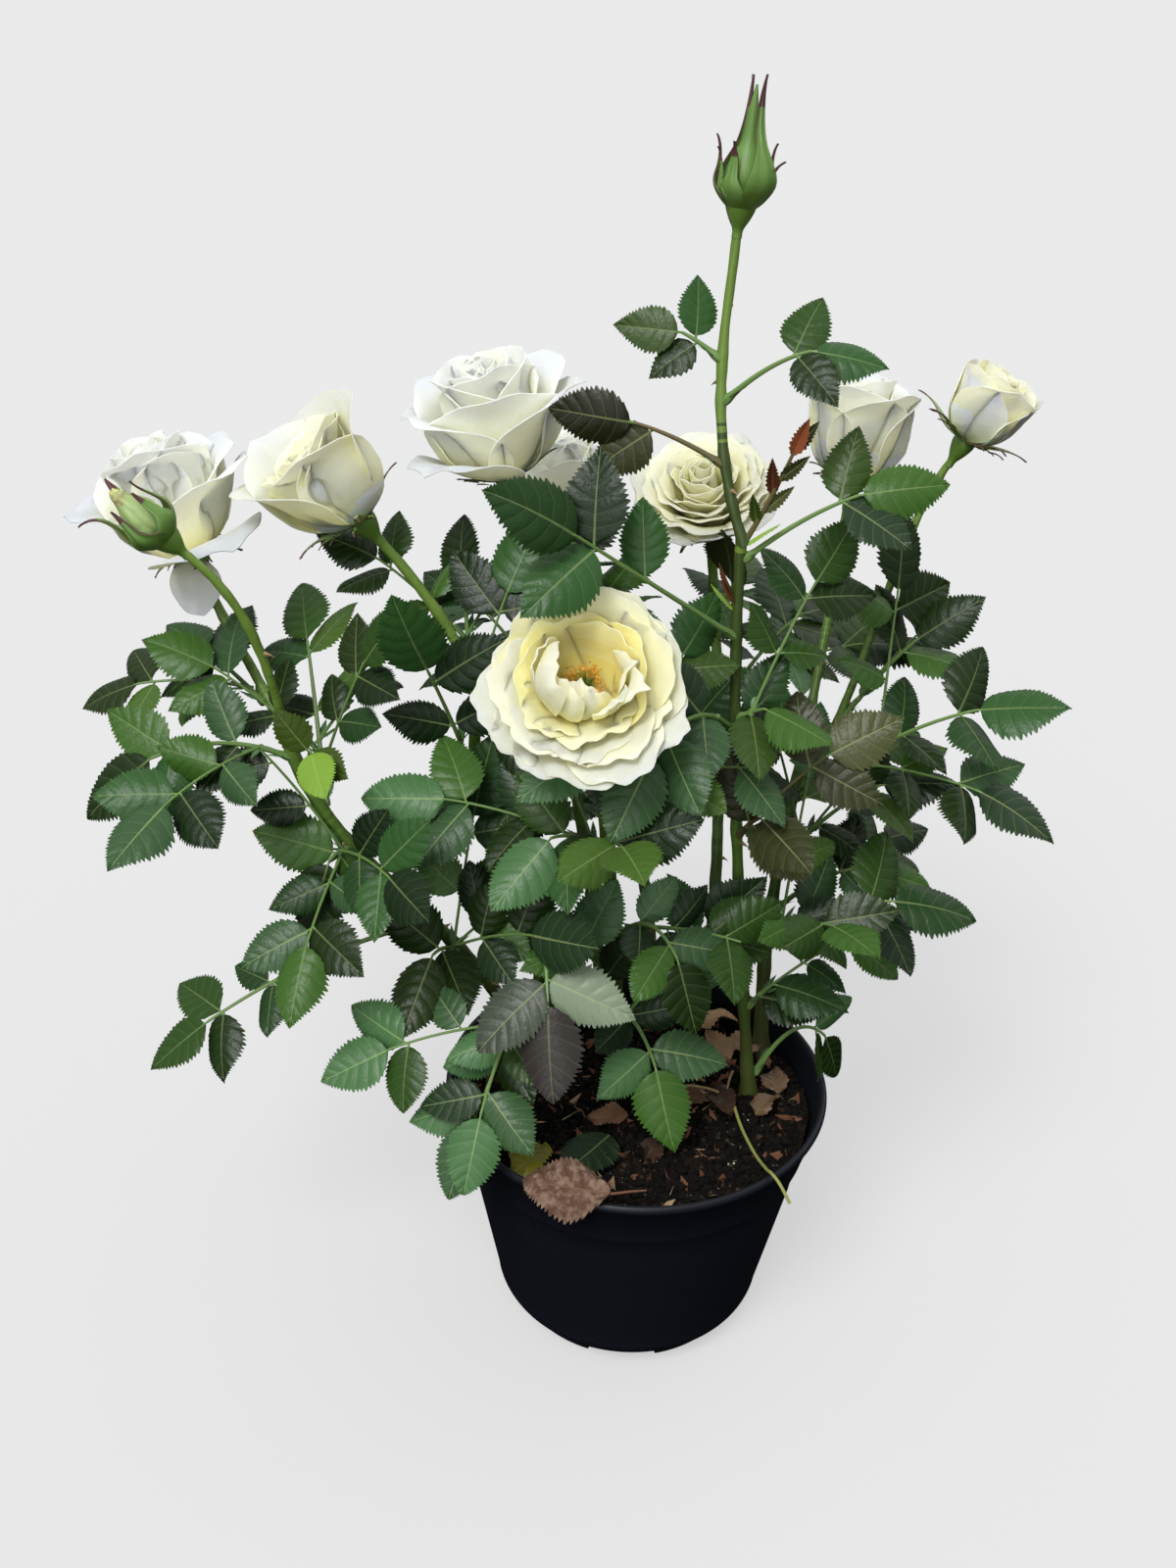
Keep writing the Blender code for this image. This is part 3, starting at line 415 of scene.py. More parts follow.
def add_turned(shape, matrix, profile, sides, look):
    """Revolve (radius, height) points round the matrix's Z, from one end on the axis to the other."""
    corners, faces, rings = [], [], []
    for radius, height in profile:
        count = 1 if radius == 0 else sides
        rings.append(range(len(corners), len(corners) + count))
        for k in range(count):
            angle = math.tau * k / sides
            corners.append(matrix @ Vector((radius * math.cos(angle), radius * math.sin(angle), height)))
    for low, high in zip(rings, rings[1:]):
        for k in range(sides):
            after = (k + 1) % sides
            loop = [low[k % len(low)], low[after % len(low)],
                    high[after % len(high)], high[k % len(high)]]
            faces.append(list(dict.fromkeys(loop)))
    shape.add(corners, faces, look)


def smooth_curve(knots, count):
    """Points of (x, y) along a smooth curve through knots."""
    knots = np.array(knots, float)
    share = np.linspace(0, len(knots) - 1, count)
    out = []
    for t in share:
        i = min(int(t), len(knots) - 2)
        p = [knots[min(max(i + k, 0), len(knots) - 1)] for k in (-1, 0, 1, 2)]
        s = t - i
        out.append(0.5 * (2 * p[1] + (p[2] - p[0]) * s + (2 * p[0] - 5 * p[1] + 4 * p[2] - p[3]) * s * s
                          + (3 * p[1] - p[0] - 3 * p[2] + p[3]) * s ** 3))
    return [tuple(point) for point in out]


# ---------------------------------------------------------------- camera, floor and light

CAMERA_PLACE = Vector((0, -463.6, 465.7))
CAMERA_YAW = math.radians(-2.475)
CAMERA_PITCH = math.radians(29.381)
CAMERA_ROLL = math.radians(1.949)
CAMERA_LENS = 39.375
SENSOR_WIDTH = 36.0
NEAREST = 0.02              # metres
FLOOR_HALF = 30.0           # metres
FLOOR_GLOW = 0.515
SKY_LOW = (0.004, 0.004, 0.004)
SKY_HIGH = (0.86, 0.87, 0.88)
SKY_RISE = (-0.35, 0.9)     # heights on a unit sphere between which the sky brightens
# Lamps: strength, spread in degrees, and the direction from which each shines.
LAMPS = (
    ("main_lamp", 2.25, 25, (-0.25, -0.55, 0.8)),
    ("back_lamp", 0.35, 60, (0.45, 0.6, 0.66)),
    ("front_lamp", 0.80, 50, (-0.25, -0.9, 0.22)),
)


def make_camera():
    flat = math.cos(CAMERA_PITCH)
    ahead = Vector((math.sin(CAMERA_YAW) * flat, math.cos(CAMERA_YAW) * flat, -math.sin(CAMERA_PITCH)))
    right = Vector((math.cos(CAMERA_YAW), -math.sin(CAMERA_YAW), 0))
    up = right.cross(ahead)
    tilted_right = right * math.cos(CAMERA_ROLL) + up * math.sin(CAMERA_ROLL)
    tilted_up = up * math.cos(CAMERA_ROLL) - right * math.sin(CAMERA_ROLL)
    turn = Matrix((tilted_right, tilted_up, -ahead)).transposed()
    camera = bpy.data.objects.new("camera", bpy.data.cameras.new("camera"))
    camera.matrix_world = Matrix.Translation(CAMERA_PLACE * MM) @ turn.to_4x4()
    camera.data.lens = CAMERA_LENS
    camera.data.sensor_width = SENSOR_WIDTH
    camera.data.clip_start = NEAREST
    bpy.context.scene.collection.objects.link(camera)
    bpy.context.scene.camera = camera


def make_floor():
    """A wide pale floor that glows, so the shadow on it is faint."""
    mesh = bpy.data.meshes.new("floor")
    corners = [(x * FLOOR_HALF, y * FLOOR_HALF, 0) for x, y in ((-1, -1), (1, -1), (1, 1), (-1, 1))]
    mesh.from_pydata(corners, [], [[0, 1, 2, 3]])
    LOOKS["floor"] = Look((0.22, 0.22, 0.22), 0.9)
    paint = material("floor")
    shader = paint.node_tree.nodes["Principled BSDF"]
    shader.inputs["Specular IOR Level"].default_value = 0
    shader.inputs["Emission Color"].default_value = (1, 1, 1, 1)
    shader.inputs["Emission Strength"].default_value = FLOOR_GLOW
    mesh.materials.append(paint)
    floor = bpy.data.objects.new("floor", mesh)
    floor.visible_diffuse = False
    floor.visible_glossy = False
    bpy.context.scene.collection.objects.link(floor)


def make_sky(scene):
    """Light from all round: brightest overhead, and dim from below, as over dark ground."""
    world = bpy.data.worlds.new("studio")
    world.use_nodes = True
    nodes, links = world.node_tree.nodes, world.node_tree.links
    place = nodes.new("ShaderNodeTexCoord")
    parts = nodes.new("ShaderNodeSeparateXYZ")
    ramp = nodes.new("ShaderNodeValToRGB")
    set_ramp(ramp, (0.0, 1.0), (SKY_LOW, SKY_HIGH))
    level = nodes.new("ShaderNodeMapRange")
    level.inputs["From Min"].default_value = SKY_RISE[0]
    level.inputs["From Max"].default_value = SKY_RISE[1]
    links.new(place.outputs["Generated"], parts.inputs["Vector"])
    links.new(parts.outputs["Z"], level.inputs["Value"])
    links.new(level.outputs["Result"], ramp.inputs["Fac"])
    links.new(ramp.outputs["Color"], nodes["Background"].inputs["Color"])
    nodes["Background"].inputs["Strength"].default_value = 1.0
    scene.world = world


def make_light():
    """A sky, a broad lamp above the front left, a weak one behind and a low one in front."""
    scene = bpy.context.scene
    scene.view_settings.view_transform = "Standard"
    make_sky(scene)
    for name, strength, spread, heading in LAMPS:
        lamp = bpy.data.lights.new(name, "SUN")
        lamp.energy = strength
        lamp.angle = math.radians(spread)
        obj = bpy.data.objects.new(name, lamp)
        obj.rotation_mode = "QUATERNION"
        obj.rotation_quaternion = Vector(heading).to_track_quat("Z", "Y")
        scene.collection.objects.link(obj)


# ---------------------------------------------------------------- pot and soil

POT_SIDES = 192
POT_HEIGHT = 91.0
LIP_RADIUS = 65.0
LIP_DEPTH = 3.0
BAND_DEPTH = 19.0
BAND_SLOPE = 9.0            # height over which the wall eases out to its band
BAND_FOOT_RADIUS = 59.8
BODY_TOP_RADIUS = 57.0
FOOT_RADIUS = 47.0
FOOT_ROUNDING = 9.0
WALL = 1.6
NOTCHES = 4
NOTCH_WIDTH = 23.0
NOTCH_HEIGHT = 3.4
NOTCH_RAMP = 1.2
FEET_RADIUS = 40.5          # outside of the feet between the notches
FEET_INSIDE = 31.0
FLOOR_LEVEL = 5.0           # inside the pot
ROUNDING_STEPS = 14
WALL_STEPS = 10


def pot_profile():
    """Outside of the tub from its underside to its rolled lip, and its inside down to its floor."""
    band_foot = POT_HEIGHT - BAND_DEPTH
    lip_foot = POT_HEIGHT - LIP_DEPTH
    centre = FOOT_RADIUS - FOOT_ROUNDING
    first = math.asin((FEET_RADIUS - centre) / FOOT_ROUNDING)
    arc = []
    for i in range(ROUNDING_STEPS + 1):
        angle = first + (math.pi / 2 - first) * i / ROUNDING_STEPS
        arc.append((centre + FOOT_ROUNDING * math.sin(angle),
                    NOTCH_HEIGHT + FOOT_ROUNDING * (1 - math.cos(angle))))
    feet = [(FEET_INSIDE, 0), (FEET_RADIUS - 0.8, 0), (FEET_RADIUS - 0.2, 0.2), (FEET_RADIUS, 0.8)]
    wall_foot = NOTCH_HEIGHT + FOOT_ROUNDING
    wall_top = band_foot - BAND_SLOPE
    wall = [(FOOT_RADIUS + (BODY_TOP_RADIUS - FOOT_RADIUS) * i / WALL_STEPS,
             wall_foot + (wall_top - wall_foot) * i / WALL_STEPS) for i in range(1, WALL_STEPS)]
    band = smooth_curve([(BODY_TOP_RADIUS - 0.4, wall_top), (BODY_TOP_RADIUS + 0.9, band_foot - 4),
                         (BAND_FOOT_RADIUS - 0.5, band_foot - 0.6),
                         (BAND_FOOT_RADIUS, band_foot + 1.6)], 12)
    lip = smooth_curve([(LIP_RADIUS - 1.6, lip_foot - 1.2), (LIP_RADIUS - 0.7, lip_foot - 0.3),
                        (LIP_RADIUS, lip_foot + 1.0), (LIP_RADIUS - 0.3, POT_HEIGHT - 0.6),
                        (LIP_RADIUS - 1.2, POT_HEIGHT), (LIP_RADIUS - 2.1, POT_HEIGHT - 0.5),
                        (LIP_RADIUS - 2.9, lip_foot + 0.4), (LIP_RADIUS - 3.2, lip_foot - 1.2)], 26)
    inside = [(BAND_FOOT_RADIUS - WALL, band_foot + WALL), (BODY_TOP_RADIUS - WALL, band_foot + WALL),
              (FOOT_RADIUS - WALL, 2 * FLOOR_LEVEL), (centre, FLOOR_LEVEL), (0, FLOOR_LEVEL)]
    return [(0, 0), *feet, *arc, *wall, *band, *lip, *inside]


def notch_lift(angle):
    """How far a drain notch lifts the foot of the tub at an angle round it."""
    step = math.tau / NOTCHES
    nearest = abs((angle + step / 2) % step - step / 2)
    beyond = nearest * FEET_RADIUS - NOTCH_WIDTH / 2 + NOTCH_RAMP / 2
    share = min(1, max(0, 1 - beyond / NOTCH_RAMP))
    return NOTCH_HEIGHT * share * share * (3 - 2 * share)


def make_pot():
    shape = Shape()
    add_turned(shape, Matrix(), pot_profile(), POT_SIDES, "pot")
    for corner in shape.corners:
        if corner.z < NOTCH_HEIGHT and corner.xy.length > FEET_INSIDE - 0.1:
            corner.z = max(corner.z, notch_lift(math.atan2(corner.y, corner.x)))
    make_piece("pot_shell", shape, "pot_plastic", "pot")


SOIL_EDGE = 59.4
SOIL_FOOT = 60.0
SOIL_RINGS = 74
SOIL_SIDES = 230
SOIL_SINK = 2.2             # of the ground between its lumps, under the solid's surface
# The size and the height, in millimetres, of the ground's lumps, swells and fine crumbs.
LUMPS = (7, 3.4)
SWELLS = (17, 1.6)
CRUMBLE = (1.7, 0.7)
WALL_RISE_FROM = 0.85       # share of the way to the wall where the ground starts to rise
WALL_RISE = 9
CRUMB_LIFT = 0.3
# Loose pieces on the soil: look, count, least and greatest size, and share of it along each axis.
CRUMBS = (
    ("clod_dark", 1900, 0.6, 2.7, (1, 1, 0.8)),
    ("clod_brown", 420, 0.5, 1.7, (1, 1, 0.7)),
    ("perlite", 34, 0.4, 0.8, (1, 1, 0.8)),
    ("grit", 420, 0.14, 0.34, (1, 1, 0.8)),
    ("bark_red", 90, 1.4, 3.6, (1.6, 0.7, 0.25)),
    ("bark_tan", 22, 1.2, 3.2, (1.8, 0.7, 0.2)),
    ("straw", 26, 2.0, 5.0, (1.6, 0.10, 0.10)),
)


def soil_height(x, y):
    """Crumbly, uneven ground that rises a little to the pot's wall."""
    place = Vector((x, y, 0))
    rough = noise.turbulence(place / LUMPS[0], 3, False) * LUMPS[1]
    rough += noise.noise(place / SWELLS[0]) * SWELLS[1]
    fine = noise.noise(place / CRUMBLE[0]) * CRUMBLE[1]
    edge = max(0, math.hypot(x, y) / SOIL_EDGE - WALL_RISE_FROM) * WALL_RISE
    return SOIL_LEVEL - SOIL_SINK + rough + fine + edge


def add_crumb(shape, rng, place, size, look, squash):
    """A small rough lump: an octahedron with uneven corners."""
    angle = rng.uniform(0, math.tau)
    turn = Matrix.Rotation(angle, 3, Vector([rng.gauss(0, 1) for _ in range(3)]))
    corners = []
    for axis in range(3):
        for sign in (1, -1):
            arm = Vector((0, 0, 0))
            arm[axis] = sign * squash[axis] * size * rng.uniform(0.6, 1.2)
            corners.append(place + turn @ arm)
    faces = [[0, 2, 4], [2, 1, 4], [1, 3, 4], [3, 0, 4], [2, 0, 5], [1, 2, 5], [3, 1, 5], [0, 3, 5]]
    shape.add(corners, faces, look)


def random_on_soil(rng):
    """A place on the soil, just above it and clear of the wall."""
    distance = (SOIL_EDGE - 2.5) * math.sqrt(rng.random())
    angle = rng.uniform(0, math.tau)
    x, y = distance * math.cos(angle), distance * math.sin(angle)
    return Vector((x, y, soil_height(x, y) + CRUMB_LIFT))


def make_soil():
    shape = Shape()
    top = [(SOIL_EDGE * i / SOIL_RINGS, SOIL_LEVEL) for i in range(SOIL_RINGS, -1, -1)]
    profile = [(0, SOIL_FOOT), (SOIL_EDGE - 4, SOIL_FOOT), *top]
    add_turned(shape, Matrix(), profile, SOIL_SIDES, "soil")
    for corner in shape.corners:
        if corner.z == SOIL_LEVEL:
            corner.z = soil_height(corner.x, corner.y)
    make_piece("soil_bed", shape, "potting_soil", "soil", sharp=180)
    rng = random.Random("crumbs")
    crumbs = Shape()
    for look, count, low, high, squash in CRUMBS:
        for _ in range(count):
            add_crumb(crumbs, rng, random_on_soil(rng), rng.uniform(low, high), look, squash)
    make_piece("soil_crumbs", crumbs, "potting_soil", sharp=30)


# ---------------------------------------------------------------- canes and stalks

class Path(NamedTuple):
    """The axis of a limb, and its radius at each point."""
    points: list
    radii: list

    def at(self, fraction):
        """Point, direction and radius at a fraction of the way along."""
        place = min(fraction, 1.0) * (len(self.points) - 1)
        i = min(int(place), len(self.points) - 2)
        step = place - i
        point = self.points[i].lerp(self.points[i + 1], step)
        direction = (self.points[i + 1] - self.points[i]).normalized()
        return point, direction, between(self.radii[i], self.radii[i + 1], step)


def bezier(foot, leave, tip, arrive, t):
    """A point of the cubic curve that leaves the foot one way and arrives at the tip another."""
    a, b = foot + leave, tip - arrive
    s = 1 - t
    return foot * s ** 3 + a * 3 * s * s * t + b * 3 * s * t * t + tip * t ** 3


def start_on(path, fraction, heading):
    """Where a branch starts, just clear of its host, and the way its foot faces."""
    point, direction, radius = path.at(fraction)
    if fraction >= 1:
        return point + direction * GAP, direction
    outward = square_to(heading, direction)
    return point + outward * (radius + GAP), outward


def limb_path(limb, paths, rings):
    """The path of a limb, wider at its foot if it stands in the soil."""
    leave, arrive, tip = Vector(limb.leave), Vector(limb.arrive), Vector(limb.tip)
    if limb.host:
        foot = start_on(paths[limb.host], limb.foot[0], leave)[0]
    else:
        foot = Vector((*limb.foot, SOIL_LEVEL + GAP))
    points, radii = [], []
    for i in range(rings + 1):
        t = i / rings
        point = bezier(foot, leave, tip, arrive, t)
        radius = between(*limb.radii, t)
        if not limb.host:
            radius *= 1 + FLARE * math.exp(-(point.z - SOIL_LEVEL) / FLARE_LENGTH)
        points.append(point)
        radii.append(radius)
    return Path(points, radii)


FINE_RINGS = 90
LIMB_SIDES = 14
SLENDER = 0.88          # a cane between its nodes, as a share of its solid
NODE_SWELL = 0.14
NODE_LENGTH = 3.2
SINK_IN_SOIL = 6.0
SINK_IN_LIMB = 2.5
PRICKLE_SPACING = 28
PRICKLE_STEPS = (0, 0.35, 0.7, 1.0)
PRICKLE_RADII = (0.95, 0.5, 0.22, 0.04)
DARK_STRETCHES = {"tall_cane": (0.62, 1.0), "tall_shoot": (-0.1, 0.34)}     # shares of a limb
NOWHERE = (2, 2)
GREEN_FROM, GREEN_TO = 40.0, 260.0      # heights over which a cane turns from brown to green


def stem_look(limb, along, height, rng):
    """Brown near the soil and green higher up, with a dark olive stretch on the tallest cane."""
    shift = rng.uniform(-0.07, 0.07)
    first, last = DARK_STRETCHES.get(limb, NOWHERE)
    if first < along + shift < last:
        return "stem_dark"
    share = (height - GREEN_FROM) / (GREEN_TO - GREEN_FROM) + shift
    steps = len(STEM_COLOURS)
    return f"stem_{min(steps - 1, max(0, int(share * steps)))}"


def add_prickle(shape, rng, path, fraction):
    """A thorn that hooks downward from the side of a cane."""
    point, along, radius = path.at(fraction)
    turn = Matrix.Rotation(rng.uniform(0, math.tau), 3, along)
    out = turn @ along.orthogonal().normalized()
    length = rng.uniform(2.0, 3.4)
    points = [point + out * (radius * 0.7 + length * s) - along * length * 0.45 * s * s
              for s in PRICKLE_STEPS]
    add_tube(shape, points, PRICKLE_RADII, 6, "thorn")


def bark(point, out):
    """Fine ribs and unevenness of the bark."""
    place = point + out * 2.2
    return noise.noise(Vector((place.x * 0.55, place.y * 0.55, place.z * 0.11))) * 0.22


def swollen_radii(path, joints, length):
    """The radii of a limb that swells a little at its joints."""
    radii = []
    for i, radius in enumerate(path.radii):
        t = i / (len(path.radii) - 1)
        swell = max(math.exp(-((t - joint) * length / NODE_LENGTH) ** 2) for joint in joints)
        radii.append(radius * (SLENDER + NODE_SWELL * swell))
    return radii


def make_limb(limb, path, hosted):
    """A cane or stalk, swollen at its foot, where things grow from it and at two nodes more."""
    rng = random.Random(limb.name + "_bark")
    joints = sorted({0.0, *hosted, *(rng.uniform(0.05, 0.95) for _ in range(2))})
    points = list(path.points)
    length = (points[-1] - points[0]).length
    radii = swollen_radii(path, joints, length)
    sink = (points[0] - points[1]).normalized()
    points.insert(0, points[0] + sink * (SINK_IN_LIMB if limb.host else SINK_IN_SOIL))
    radii.insert(0, radii[0] * 1.05)
    shape = Shape()
    looks = [stem_look(limb.name, i / len(points), point.z, rng) for i, point in enumerate(points)]
    add_tube(shape, points, radii, LIMB_SIDES, lambda i: looks[i], bark)
    for _ in range(int(length / PRICKLE_SPACING)):
        add_prickle(shape, rng, path, rng.uniform(0.08, 0.85))
    make_piece(limb.name + "_bark", shape, "green_stem", limb.name)


def make_limbs():
    """Coarse paths for the rule of growth, and a fine piece for each limb."""
    coarse, fine = {}, {}
    for limb in LIMBS:
        coarse[limb.name] = limb_path(limb, coarse, LIMB_RINGS)
        fine[limb.name] = limb_path(limb, coarse, FINE_RINGS)
    for limb in LIMBS:
        hosted = [other.foot[0] for other in LIMBS if other.host == limb.name]
        hosted += [spray.at for spray in SPRAYS if spray.host == limb.name]
        make_limb(limb, fine[limb.name], hosted)
    return coarse


# ---------------------------------------------------------------- blooms

PETAL_OUTLINE = ((0, 0.16), (0.12, 0.36), (0.3, 0.68), (0.55, 0.95), (0.75, 1.0), (0.9, 0.93), (1, 0.80))
SEPAL_OUTLINE = ((0, 0.75), (0.12, 1.0), (0.35, 0.72), (0.6, 0.34), (0.85, 0.14), (1, 0.04))
BUD_OUTLINE = ((0, 0.50), (0.14, 0.92), (0.24, 1.0), (0.38, 0.62), (0.5, 0.34), (0.75, 0.20), (1, 0.03))
RIM_FROM = 0.55           # share of a petal's length where its sides begin to roll out
MOST_WRAP = 2.5           # radians that half a petal may wrap round the axis
LEAST_BEND = 1.2          # millimetres from the axis, where a petal's cross-section is tightest
CREASE_DEPTH = 0.3
POINT_WIDTH = 0.16        # of the small point on a petal's rim, as a share of its half width
NECK = 8.0                # height of a bloom's hip, from which its petals rise


class Petal(NamedTuple):
    """A petal or sepal that rises from a bloom's axis. Its angles are in degrees.

    Azimuth 0 is towards the viewer, and 90 is to the right.
    """
    azimuth: float
    length: float
    half_width: float
    angles: tuple                 # its lean from the axis, from its foot to its rim
    foot: tuple = (2.6, NECK)     # radius and height
    roll: float = 35.0            # how much further its sides lean out at the rim
    curl: float = 1.6             # how far its side edges bend back
    flat: float = 1.3             # radius of its cross-section over its distance from the axis
    shoulder: float = 0.24        # how much shorter its sides are
    slant: float = 0.0            # how much longer its right side is than its left
    point: float = 0.05
    ruffle: float = 0.6
    outline: tuple = PETAL_OUTLINE
    thickness: float = 0.32
    tones: tuple = (0.4, 1.0)     # colour of its face at its foot and at its rim
    green: float = 0.0            # share of its back that is tinged with green


def running_sum(values, step, axis):
    """Trapezoid integral along an axis, from zero."""
    values = np.moveaxis(values, axis, 0)
    parts = (values[1:] + values[:-1]) / 2
    total = np.concatenate([np.zeros_like(values[:1]), np.cumsum(parts, axis=0)])
    return np.moveaxis(total, 0, axis) * step


def petal_waves(petal, rng, u, s, rim):
    """How far a petal's rim waves out, how far its face creases out, and how far its rim waves up."""
    phase = [rng.uniform(0, math.tau) for _ in range(4)]
    wave = np.sin(rng.uniform(3, 5) * u + phase[0]) + 0.5 * np.sin(rng.uniform(8, 12) * u + phase[1])
    crease = np.sin(rng.uniform(4, 7) * u + phase[2] + 1.5 * s) * np.sin(math.pi * np.clip(s, 0, 1))
    lift = petal.ruffle * 0.5 * np.cos(rng.uniform(6, 9) * u + phase[3]) * rim ** 2
    return petal.ruffle * wave * rim ** 1.5, CREASE_DEPTH * crease, lift


def petal_section(petal, radius, u, s, rim):
    """The curved cross-section: how far each corner is turned, and its place back and aside."""
    half = petal.half_width * np.interp(s, *zip(*petal.outline))
    bend = np.maximum(radius, LEAST_BEND) * petal.flat
    wrap = np.clip(half / bend, 0, MOST_WRAP)
    turn = wrap * (u - petal.curl * rim ** 1.5 * np.sign(u) * u ** 4 / 4)
    step = 2 / (len(u) - 1)
    x = -running_sum(half * np.sin(turn), step, 0)
    y = running_sum(half * np.cos(turn), step, 0)
    middle = len(u) // 2
    return turn, x - x[middle], y - y[middle]


def petal_grid(petal, rng, across, along):
    """Grids of corners on a petal's outside and inside, across and along it, and their shares of
    its length.

    Its midline leans from the axis by the petal's angles, its sides roll out further near the
    rim, and each cross-section bends round the axis.
    """
    u = np.linspace(-1, 1, across)[:, None]
    reach = 1 - petal.shoulder * np.abs(u) ** 2.6 + petal.point * np.exp(-(u / POINT_WIDTH) ** 2)
    reach = reach * (1 + petal.slant * u)
    s = np.linspace(0, 1, along)[None, :] * reach
    rim = np.clip((s - RIM_FROM) / (1 - RIM_FROM), 0, 1.2)
    lean = np.interp(s, np.linspace(0, 1, len(petal.angles)), np.radians(petal.angles))
    rolled = lean + math.radians(petal.roll) * u ** 2 * rim ** 2
    step = petal.length * reach / (along - 1)
    out, rolled_out = (running_sum(np.sin(angle), step, 1) for angle in (lean, rolled))
    rise, rolled_rise = (running_sum(np.cos(angle), step, 1) for angle in (lean, rolled))
    radius, height = petal.foot[0] + out, petal.foot[1] + rise
    wave, crease, lift = petal_waves(petal, rng, u, s, rim)
    off_radius = rolled_out - out + wave + crease
    off_height = rolled_rise - rise + lift
    turn, x, y = petal_section(petal, radius, u, s, rim)
    outside = np.stack([radius + x + off_radius * np.cos(turn), y + off_radius * np.sin(turn),
                        height + off_height], axis=2)
    normal = np.cross(np.gradient(outside, axis=0), np.gradient(outside, axis=1))
    normal /= np.maximum(np.linalg.norm(normal, axis=2, keepdims=True), 1e-6)
    return outside, outside - normal * petal.thickness, s


def rim_of(across, along):
    """The numbers of a petal's corners round its edge."""
    edge = [i * along for i in range(across)]
    edge += [(across - 1) * along + j for j in range(1, along)]
    edge += [i * along + along - 1 for i in range(across - 2, -1, -1)]
    return edge + list(range(along - 2, 0, -1))


def add_petal(shape, matrix, petal, rng, front, back, across=15, along=17):
    """A closed petal. front and back are functions from the share of its length to a look."""
    outside, inside, s = petal_grid(petal, rng, across, along)
    corners = np.concatenate([outside.reshape(-1, 3), inside.reshape(-1, 3)])
    whole = matrix @ Matrix.Rotation(math.radians(petal.azimuth), 4, "Z")
    corners = corners @ np.array(whole.to_3x3()).T + np.array(whole.translation)
    count = across * along
    faces, looks = [], []
    for i in range(across - 1):
        for j in range(along - 1):
            a, b = i * along + j, (i + 1) * along + j
            share = float(s[i:i + 2, j:j + 2].mean())
            faces += [[a, b, b + 1, a + 1], [count + a + 1, count + b + 1, count + b, count + a]]
            looks += [back(share), front(share)]
    edge = rim_of(across, along)
    for a, b in zip(edge, edge[1:] + edge[:1]):
        faces.append([b, a, count + a, count + b])
        looks.append(front(1.0 if a % along > 1 else 0.0))
    shape.add(corners.tolist(), faces, looks)


def petal_looks(petal, rng):
    """Looks along a petal's face and back: yellow at the foot, white at the rim."""
    shift = rng.uniform(-0.05, 0.05)

    def step(tone):
        return min(PETAL_STEPS - 1, max(0, int((tone + shift) * PETAL_STEPS)))

    def front(share):
        return f"petal_{step(between(*petal.tones, share))}"

    def back(share):
        if share < petal.green:
            return f"petal_back_{step(0.25 + 0.75 * share / petal.green)}"
        foot = 0.5 * petal.tones[0] + 0.15
        return f"petal_{step(between(foot, petal.tones[1], share))}"

    return front, back


def bloom_frame(path):
    """A frame whose Z is the axis of a bloom on the tip of a path, and whose X is to the viewer."""
    tip, direction, stalk = path.at(1.0)
    side = square_to(Vector((0, -1, 0)), direction)
    turn = Matrix((side, direction.cross(side), direction)).transposed()
    return Matrix.Translation(tip + direction * GAP) @ turn.to_4x4(), stalk


class Rose(NamedTuple):
    """A bloom on the tip of a limb: a spiral of petals round its heart, then listed outer ones."""
    name: str
    host: str
    sepals: tuple            # length and angles
    petals: int = 0          # of the spiral
    lengths: tuple = ()      # of the spiral's innermost and outermost petals
    widths: tuple = ()       # half widths of the same
    inner: tuple = ()        # angles of the innermost petals
    outer: tuple = ()        # angles of the spiral's outermost petals
    opening: float = 1.0     # power with which the angles change from inner to outer
    tones: tuple = ()        # colours at foot and rim of the inner petals, and of the outer ones
    outer_petals: tuple = ()
    turn: float = 0.0        # azimuth of the first petal
    hip: float = 3.4
    size: float = 1.0
    point: float = 0.02
    shoulder: float = 0.16


def whorl(*petals, **shared):
    """Outer petals. Each is azimuth, length, half width, angles and, last, what only it has."""
    return tuple(Petal(*place, **{**shared, **own}) for *place, own in petals)


